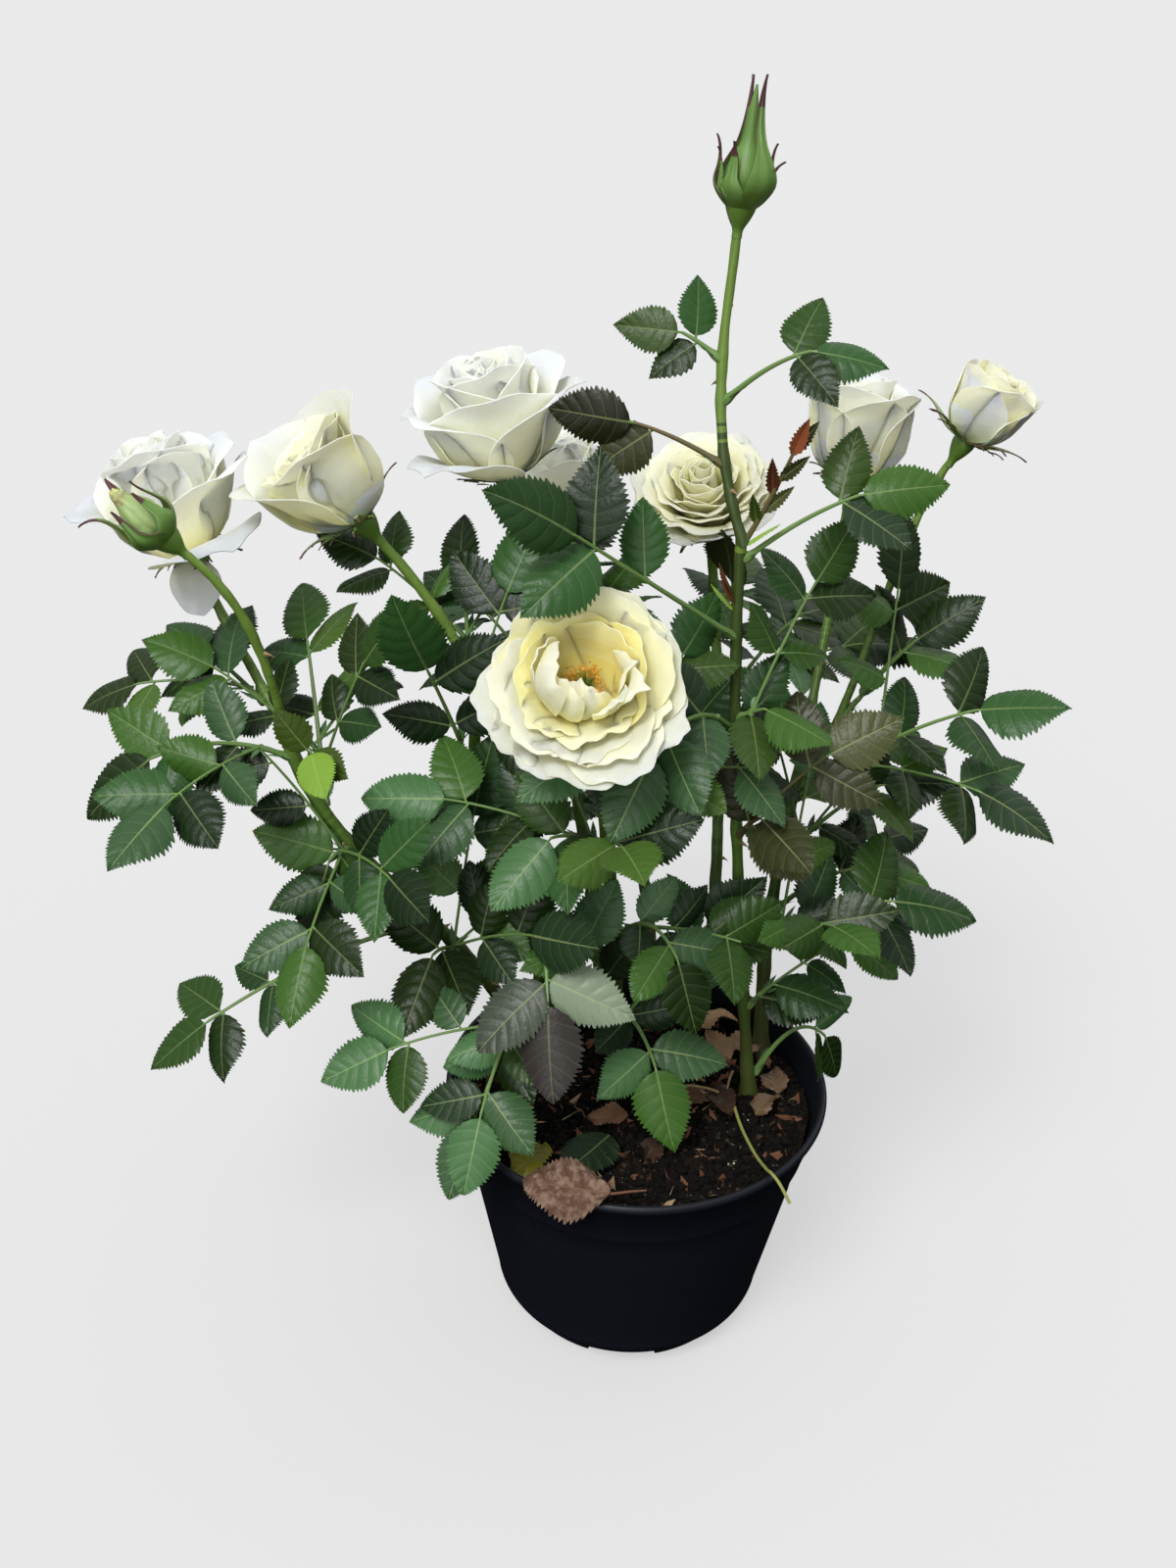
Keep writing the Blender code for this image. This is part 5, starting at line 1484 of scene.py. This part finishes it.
class Shoot:
    """The growth of one spray: its stalks, its leaves and the room that is left for more."""

    def __init__(self, spray, occupied):
        self.spray = spray
        self.occupied = occupied
        self.rng = random.Random(spray.name)
        self.stalks = []
        self.leaves = []
        self.rooms = []
        self.blades = Occupied()

    def add_leaflet(self, base, direction, facing, length):
        """Place a leaflet, twisted one way or the other if something is in the way."""
        for twist in TWISTS:
            normal = square_to(Matrix.Rotation(twist, 3, direction) @ facing, direction)
            room = leaflet(base, direction, normal, length, swell=LEAF_CLEARANCE)
            blade = leaflet(base, direction, normal, length, root=BLADE_ROOT, swell=LEAF_CLEARANCE)
            if self.occupied.touches(room) or self.blades.touches(blade):
                continue
            self.leaves.append(Leaf(base, direction, normal, length))
            self.rooms.append(leaflet(base, direction, normal, length))
            self.blades.add(leaflet(base, direction, normal, length, root=BLADE_ROOT))
            return

    def add_compound(self, start, reach, arch, radii, length, facing):
        """A twig or leaf stalk with one leaflet on its end and pairs behind it."""
        span = (reach - start).length
        end = max(LEAST_STALK, 1 - length / span)
        points = [bowed(start, reach, arch, end * i / 3) for i in range(4)]
        self.rooms.append(twig_room(points, radii[0]))
        self.stalks.append(Stalk(start, reach, arch, end, radii))
        self.add_leaflet(points[-1], (reach - points[-1]).normalized(), facing, length)
        for pair in range(self.spray.pairs):
            back = length * (PAIR_FIRST + PAIR_STEP * pair)
            t = end - back / span
            if t < 0.2 * end:
                break
            middle = bowed(start, reach, arch, t)
            ahead = (bowed(start, reach, arch, t + AHEAD) - middle).normalized()
            across = ahead.cross(facing).normalized()
            for sign in (-1, 1):
                base = middle + ahead * PAIR_STAGGER * sign / 2
                spread = LEAF_SPREAD + self.rng.uniform(-SPREAD_JITTER, SPREAD_JITTER)
                heading = ahead * math.cos(spread) + across * sign * math.sin(spread)
                size = length * (FIRST_PAIR_SIZE - PAIR_SHRINK * pair) * self.rng.uniform(0.92, 1.05)
                self.add_leaflet(base, heading.normalized(), facing, size)

    def stalk_room(self, start, reach, arch, first, radius):
        """The room that a twig takes, less the part next to its foot."""
        shares = [first + (0.96 - first) * i / 5 for i in range(6)]
        return twig_room([bowed(start, reach, arch, share) for share in shares], radius + GAP)

    def side_reach(self, base, ahead, azimuth, length):
        """Where a leaf from the side of the twig would end."""
        side = ahead.orthogonal().normalized()
        radial = Matrix.Rotation(azimuth, 3, ahead) @ side
        heading = ahead * 0.5 + radial * 0.8 + UP * 0.22
        return base + heading.normalized() * length * (1.6 + 0.5 * self.spray.pairs)

    def add_side_leaf(self, start, reach, arch, share, turn):
        """A compound leaf off the twig, at the first azimuth of the golden-angle rule that is free."""
        base = bowed(start, reach, arch, share)
        ahead = (bowed(start, reach, arch, share + AHEAD) - base).normalized()
        length = self.spray.leaflet * self.rng.uniform(0.85, 1.0)
        for attempt in range(SIDE_ATTEMPTS):
            azimuth = (turn + attempt) * GOLDEN_ANGLE + self.rng.uniform(-0.3, 0.3)
            goal = self.side_reach(base, ahead, azimuth, length)
            room = self.stalk_room(base, goal, SIDE_ARCH, 0, RACHIS_RADIUS)
            beyond = self.stalk_room(base, goal, SIDE_ARCH, 0.1, RACHIS_RADIUS)
            if not self.occupied.touches(room) and not self.blades.touches(beyond):
                radii = (RACHIS_RADIUS, RACHIS_RADIUS * 0.8)
                facing = facing_of(self.spray, goal)
                self.add_compound(base, goal, SIDE_ARCH, radii, length, facing)
                return

    def free_arch(self, start, reach):
        """The arch nearest to the wanted one whose twig passes everything else."""
        for change in ARCH_CHANGES:
            arch = self.spray.arch + change
            room = self.stalk_room(start, reach, arch, 0.05, SPRAY_STEM_RADIUS)
            if not self.occupied.touches(room):
                return arch
        return self.spray.arch

    def grow(self, paths):
        """Grow the twig with its end leaf, and then a leaf at each place along it."""
        spray = self.spray
        reach = Vector(spray.reach)
        host = paths[spray.host]
        heading = reach - host.at(spray.at)[0] + UP * spray.arch * 2
        start, _ = start_on(host, spray.at, heading)
        arch = self.free_arch(start, reach)
        radii = (SPRAY_STEM_RADIUS, RACHIS_RADIUS)
        self.add_compound(start, reach, arch, radii, spray.leaflet, facing_of(spray, reach))
        free = 1 - spray.leaflet * (1.5 + PAIR_STEP) / (reach - start).length
        for k in range(spray.leaves - 1):
            share = max(TWIG_FOOT, free) * (1 - 0.75 * k / max(1, spray.leaves - 1))
            self.add_side_leaf(start, reach, arch, share, k)


# The kind of leaf on each spray that isn't dark.
SPRAY_KINDS = {
    "bronze_spray": "bronze", "brown_spray": "bronze",
    "front_trio_spray": "deep", "left_centre_spray": "deep",
    "mottled_spray": "mottled", "left_young_spray": "young",
    "rim_right_spray": "fresh", "front_low_spray": "fresh", "front_mid_spray": "fresh",
    "rim_left_spray": "fresh", "under_bloom_spray": "fresh",
}
# What the leaflets of a kind are dealt from.
MIXTURES = {
    "dark": ("dark", "dark", "dark", "deep", "deep", "olive", "fresh"),
    "deep": ("deep", "deep", "dark"),
    "mottled": ("mottled", "mauve"),
    "fresh": ("fresh", "fresh", "dark"),
}
STALK_RINGS = 14
STALK_SINK = 1.4
SWOLLEN_FOOT = 0.6          # how much wider a stalk is at its foot
SWOLLEN_LENGTH = 1.8
STUB = 1.3                  # the stalk of a leaflet
STIPULE_LENGTH = 7.5
STIPULE = Form(width=0.13, fold=0.1, droop=0.1, curl=0.3, wave=0, quilt=0, taper=1.2)


def add_stalk(shape, stalk, kind):
    """A stalk with a swollen foot sunk into what it grows from."""
    steps = range(STALK_RINGS + 1)
    points = [bowed(stalk.start, stalk.reach, stalk.arch, stalk.end * i / STALK_RINGS) for i in steps]
    length = (points[-1] - points[0]).length
    radii = []
    for i in steps:
        share = i / STALK_RINGS
        width = between(stalk.radii[0] * 0.85, stalk.radii[1] * 0.75, share)
        radii.append(width * (1 + SWOLLEN_FOOT * math.exp(-(share * length / SWOLLEN_LENGTH) ** 2)))
    points.insert(0, points[0] + (points[0] - points[1]).normalized() * STALK_SINK)
    radii.insert(0, radii[0])
    add_tube(shape, points, radii, 7, "twig_red" if kind == "bronze" else "twig")


def add_stipules(shape, stalk):
    """Two pointed ears on the foot of a leaf stalk."""
    foot = bowed(stalk.start, stalk.reach, stalk.arch, 0.01)
    ahead = (bowed(stalk.start, stalk.reach, stalk.arch, 0.06) - foot).normalized()
    side = ahead.cross(UP).normalized()
    for sign in (-1, 1):
        heading = (ahead + side * sign * 0.42).normalized()
        base = foot + side * sign * stalk.radii[0] * 0.4
        add_blade(shape, base, heading, square_to(UP, heading), STIPULE_LENGTH, "fresh", 2, STIPULE)


def add_leaf(shape, twigs, leaf, kind, rng):
    """A leaflet on a short stalk of its own."""
    add_tube(twigs, [leaf.base, leaf.base + leaf.direction * STUB * 1.4], (0.42, 0.34), 5, "twig")
    form = Form(width=rng.uniform(0.31, 0.36), fold=rng.uniform(0.12, 0.34),
                droop=rng.uniform(0.08, 0.26), curl=rng.uniform(0.2, 0.7),
                twist=rng.uniform(-0.25, 0.25), wave=rng.uniform(0.004, 0.014),
                quilt=QUILT * rng.uniform(0.7, 1.1), taper=rng.uniform(0.82, 1.12))
    base = leaf.base + leaf.direction * STUB
    add_blade(shape, base, leaf.direction, leaf.normal, leaf.length - STUB, kind,
              rng.randrange(len(SHADES)), form, rng.uniform(0, math.tau))


def make_spray(shoot):
    """The leaves of a spray, which replace its solid, and its stalks."""
    spray = shoot.spray
    kind = SPRAY_KINDS.get(spray.name, "dark")
    mixture = MIXTURES.get(kind, (kind,))
    rng = random.Random(spray.name + "_looks")
    leaves, twigs = Shape(), Shape()
    for stalk in shoot.stalks:
        add_stalk(twigs, stalk, kind)
        add_stipules(leaves, stalk)
    for leaf in shoot.leaves:
        add_leaf(leaves, twigs, leaf, rng.choice(mixture), rng)
    make_piece(spray.name + "_leaves", leaves, "rose_leaf", spray.name)
    make_piece(spray.name + "_twigs", twigs, "green_stem")


def make_sprays(paths):
    """The sprays in their order, each clear of the soil, limbs and blooms and of the ones before."""
    occupied = Occupied()
    for name in ("soil", *(part.name for part in (*LIMBS, *ROSES, *BUDS))):
        occupied.add(node_piece(name))
    for spray in SPRAYS:
        shoot = Shoot(spray, occupied)
        shoot.grow(paths)
        occupied.add(*shoot.rooms)
        make_spray(shoot)


# ---------------------------------------------------------------- fallen leaves and young shoots

# Fallen leaves on the soil: kind, place, the way the tip points in degrees, length and tilt.
FALLEN = (
    ("tan", (44, 32), 205, 17, 0.5), ("tan", (49, 6), 100, 14, 0.3), ("dead", (13, -4), 25, 16, 0.4),
    ("tan", (33, 22), 140, 15, -0.3), ("dead", (26, 6), 300, 15, 0.6), ("tan", (41, -8), 60, 13, 0.2),
    ("dead", (4, -34), 70, 13, 0.9), ("dead", (-2, -12), 190, 14, 0.3),
    ("yellow", (-30, -30), 250, 20, 0.3), ("yellow", (-36, -8), 230, 19, 0.4),
    ("deep", (-8, -22), 238, 25, 0.05), ("tan", (20, 40), 20, 15, 0.4),
    ("dead", (-30, 40), 120, 16, 0.3), ("tan", (-8, 44), 260, 14, 0.3),
)
# Most curled up as they dried.
FALLEN_FORM = Form(width=0.32, fold=0.75, droop=0.30, curl=0.4, twist=0.9, wave=0.09, quilt=0.03)
FALLEN_LIFT = 2.4
# The deep green one fell fresh, and lies flat.
FLAT_FORM = Form(width=0.36, fold=0.04, droop=-0.02, curl=0.1, twist=0.05)
FLAT_LIFT = 3.6
FLAT_RISE = 0.05

# The dry leaf that lies over the rim.
RIM_LEAF_FORM = Form(fold=0.10, droop=0.02, curl=0.30, twist=0.18, wave=0.085, quilt=0.050,
                     taper=0.7)
RIM_LEAF_BASE = Vector((-6, -62, POT_HEIGHT + 3.0))
RIM_LEAF_HEADING = Vector((-1, 0.12, 0.02)).normalized()
RIM_LEAF_UP = Vector((0, -0.30, 0.95))
RIM_LEAF_LENGTH = 28
RIM_LEAF_STALK = ((0, 0, 0), (6, 1.4, 0.2), (11, 3, -0.4))      # from the leaf's base

DEAD_STALKS = 9
DEAD_STALK_ARCH = 1.5
DEAD_STALK_RADII = (0.6, 0.55, 0.5, 0.45, 0.4, 0.35)
ROOTLET = ((33, 2, 83), (36, -14, 83.5), (40, -30, 86), (43, -42, 90.5), (44.5, -46.5, 92.6),
           (47, -50, 91.6), (50.5, -53.5, 87))
ROOTLET_RADIUS = 0.55
ROOTLET_RINGS = 40


def make_fallen_leaves(rng):
    litter = Shape()
    for kind, (x, y), turn, length, tilt in FALLEN:
        flat = kind == "deep"
        rise = FLAT_RISE if flat else rng.uniform(0.05, 0.5)
        turn = math.radians(turn)
        heading = Vector((math.cos(turn), math.sin(turn), rise)).normalized()
        normal = Matrix.Rotation(tilt, 3, heading) @ square_to(UP, heading)
        base = Vector((x, y, soil_height(x, y) + (FLAT_LIFT if flat else FALLEN_LIFT)))
        add_blade(litter, base, heading, normal, length, kind, rng.randrange(len(SHADES)),
                  FLAT_FORM if flat else FALLEN_FORM, rng.uniform(0, math.tau))
    make_piece("fallen_leaves", litter, "rose_leaf")


def make_rim_leaf():
    shape = Shape()
    normal = square_to(RIM_LEAF_UP, RIM_LEAF_HEADING)
    add_blade(shape, RIM_LEAF_BASE, RIM_LEAF_HEADING, normal, RIM_LEAF_LENGTH, "dead", 1,
              RIM_LEAF_FORM, 1.0)
    shape.looks = ["rim_leaf_rib" if look == "dead_vein_1" else "rim_leaf" for look in shape.looks]
    make_piece("rim_leaf", shape, "rose_leaf")


def make_rootlets(rng):
    """The rim leaf's stalk, dead stalks at the tall cane's foot, and a root that hangs over the rim."""
    shape = Shape()
    stalk = [RIM_LEAF_BASE + Vector(step) for step in RIM_LEAF_STALK]
    add_tube(shape, stalk, (0.45, 0.4, 0.3), 6, "bark_red")
    for _ in range(DEAD_STALKS):
        x, y, turn = rng.uniform(8, 34), rng.uniform(-8, 22), rng.uniform(2.6, 4.6)
        start = Vector((x, y, soil_height(x, y)))
        out = Vector((math.cos(turn), math.sin(turn), rng.uniform(0.2, 0.9)))
        end = start + out.normalized() * rng.uniform(12, 24)
        points = [bowed(start, end, DEAD_STALK_ARCH, i / 5) for i in range(6)]
        add_tube(shape, points, DEAD_STALK_RADII, 6, "dead_stalk")
    line = [Vector(point) for point in smooth_curve(ROOTLET, ROOTLET_RINGS)]
    add_tube(shape, line, [ROOTLET_RADIUS] * len(line), 7, "rootlet")
    make_piece("rootlets", shape, "green_stem")


def make_litter():
    rng = random.Random("litter")
    make_fallen_leaves(rng)
    make_rim_leaf()
    make_rootlets(rng)


YOUNG_FORM = Form(width=0.15, fold=0.7, droop=-0.1, curl=0.2, twist=0.2, wave=0, quilt=0, taper=1.1)
# The small unfolding shoots in the leaf axils of the tallest cane: share of the cane, heading,
# length and kind.
YOUNG_SHOOTS = (
    (0.90, (-0.42, 0.05, 1.0), 11, "red"), (0.89, (-0.30, -0.12, 1.0), 15, "red"),
    (0.88, (-0.75, -0.1, 1.0), 11, "young"), (0.99, (0.80, -0.2, 0.8), 13, "young"),
)
# The taller one beside the cane's top: its foot, as a share of the cane, its reach and arch, and
# the share, side, length and kind of each of its leaves.
YOUNG_TWIG_FOOT = 0.985
YOUNG_TWIG = Vector((13, -2, 31))
YOUNG_TWIG_ARCH = -1.5
YOUNG_TWIG_RADII = (1.0, 0.9, 0.8, 0.75, 0.7, 0.6, 0.5)
YOUNG_TWIG_LEAVES = (
    (0.30, -0.55, 11, "young"), (0.42, 0.60, 12, "bronze"), (0.60, -0.45, 12, "red"),
    (0.74, 0.50, 12, "bronze"), (0.96, -0.10, 14, "red"), (0.97, 0.25, 12, "bronze"),
)
TOWARDS_FRONT = Vector((0, -1, 0.3))


def add_young_twig(shape, twigs, path, rng):
    foot = path.at(YOUNG_TWIG_FOOT)[0]
    reach = foot + YOUNG_TWIG
    ahead = YOUNG_TWIG.normalized()
    points = [bowed(foot, reach, YOUNG_TWIG_ARCH, i / 6) for i in range(7)]
    add_tube(twigs, points, YOUNG_TWIG_RADII, 7, "twig_red")
    for share, side, length, kind in YOUNG_TWIG_LEAVES:
        heading = (ahead + Vector((side, rng.uniform(-0.3, 0.1), 0))).normalized()
        base = bowed(foot, reach, YOUNG_TWIG_ARCH, share)
        add_blade(shape, base, heading, square_to(TOWARDS_FRONT, heading), length, kind,
                  rng.randrange(len(SHADES)), YOUNG_FORM)


def make_young_shoots(path):
    shape, twigs, rng = Shape(), Shape(), random.Random("young")
    for share, heading, length, kind in YOUNG_SHOOTS:
        point, along, radius = path.at(share)
        heading = Vector(heading).normalized()
        out = square_to(heading, along)
        add_blade(shape, point + out * radius * 0.6, heading, square_to(out, heading), length, kind,
                  rng.randrange(len(SHADES)), YOUNG_FORM)
    add_young_twig(shape, twigs, path, rng)
    make_piece("young_shoots", shape, "rose_leaf")
    make_piece("young_twig", twigs, "green_stem")


# ---------------------------------------------------------------- the whole plant

def make_plant():
    make_pot()
    make_soil()
    paths = make_limbs()
    make_blooms(paths)
    make_sprays(paths)
    make_litter()
    make_young_shoots(paths["tall_cane"])


add_leaf_looks()
add_petal_looks()
add_stem_looks()
make_camera()
make_floor()
make_light()
make_plant()
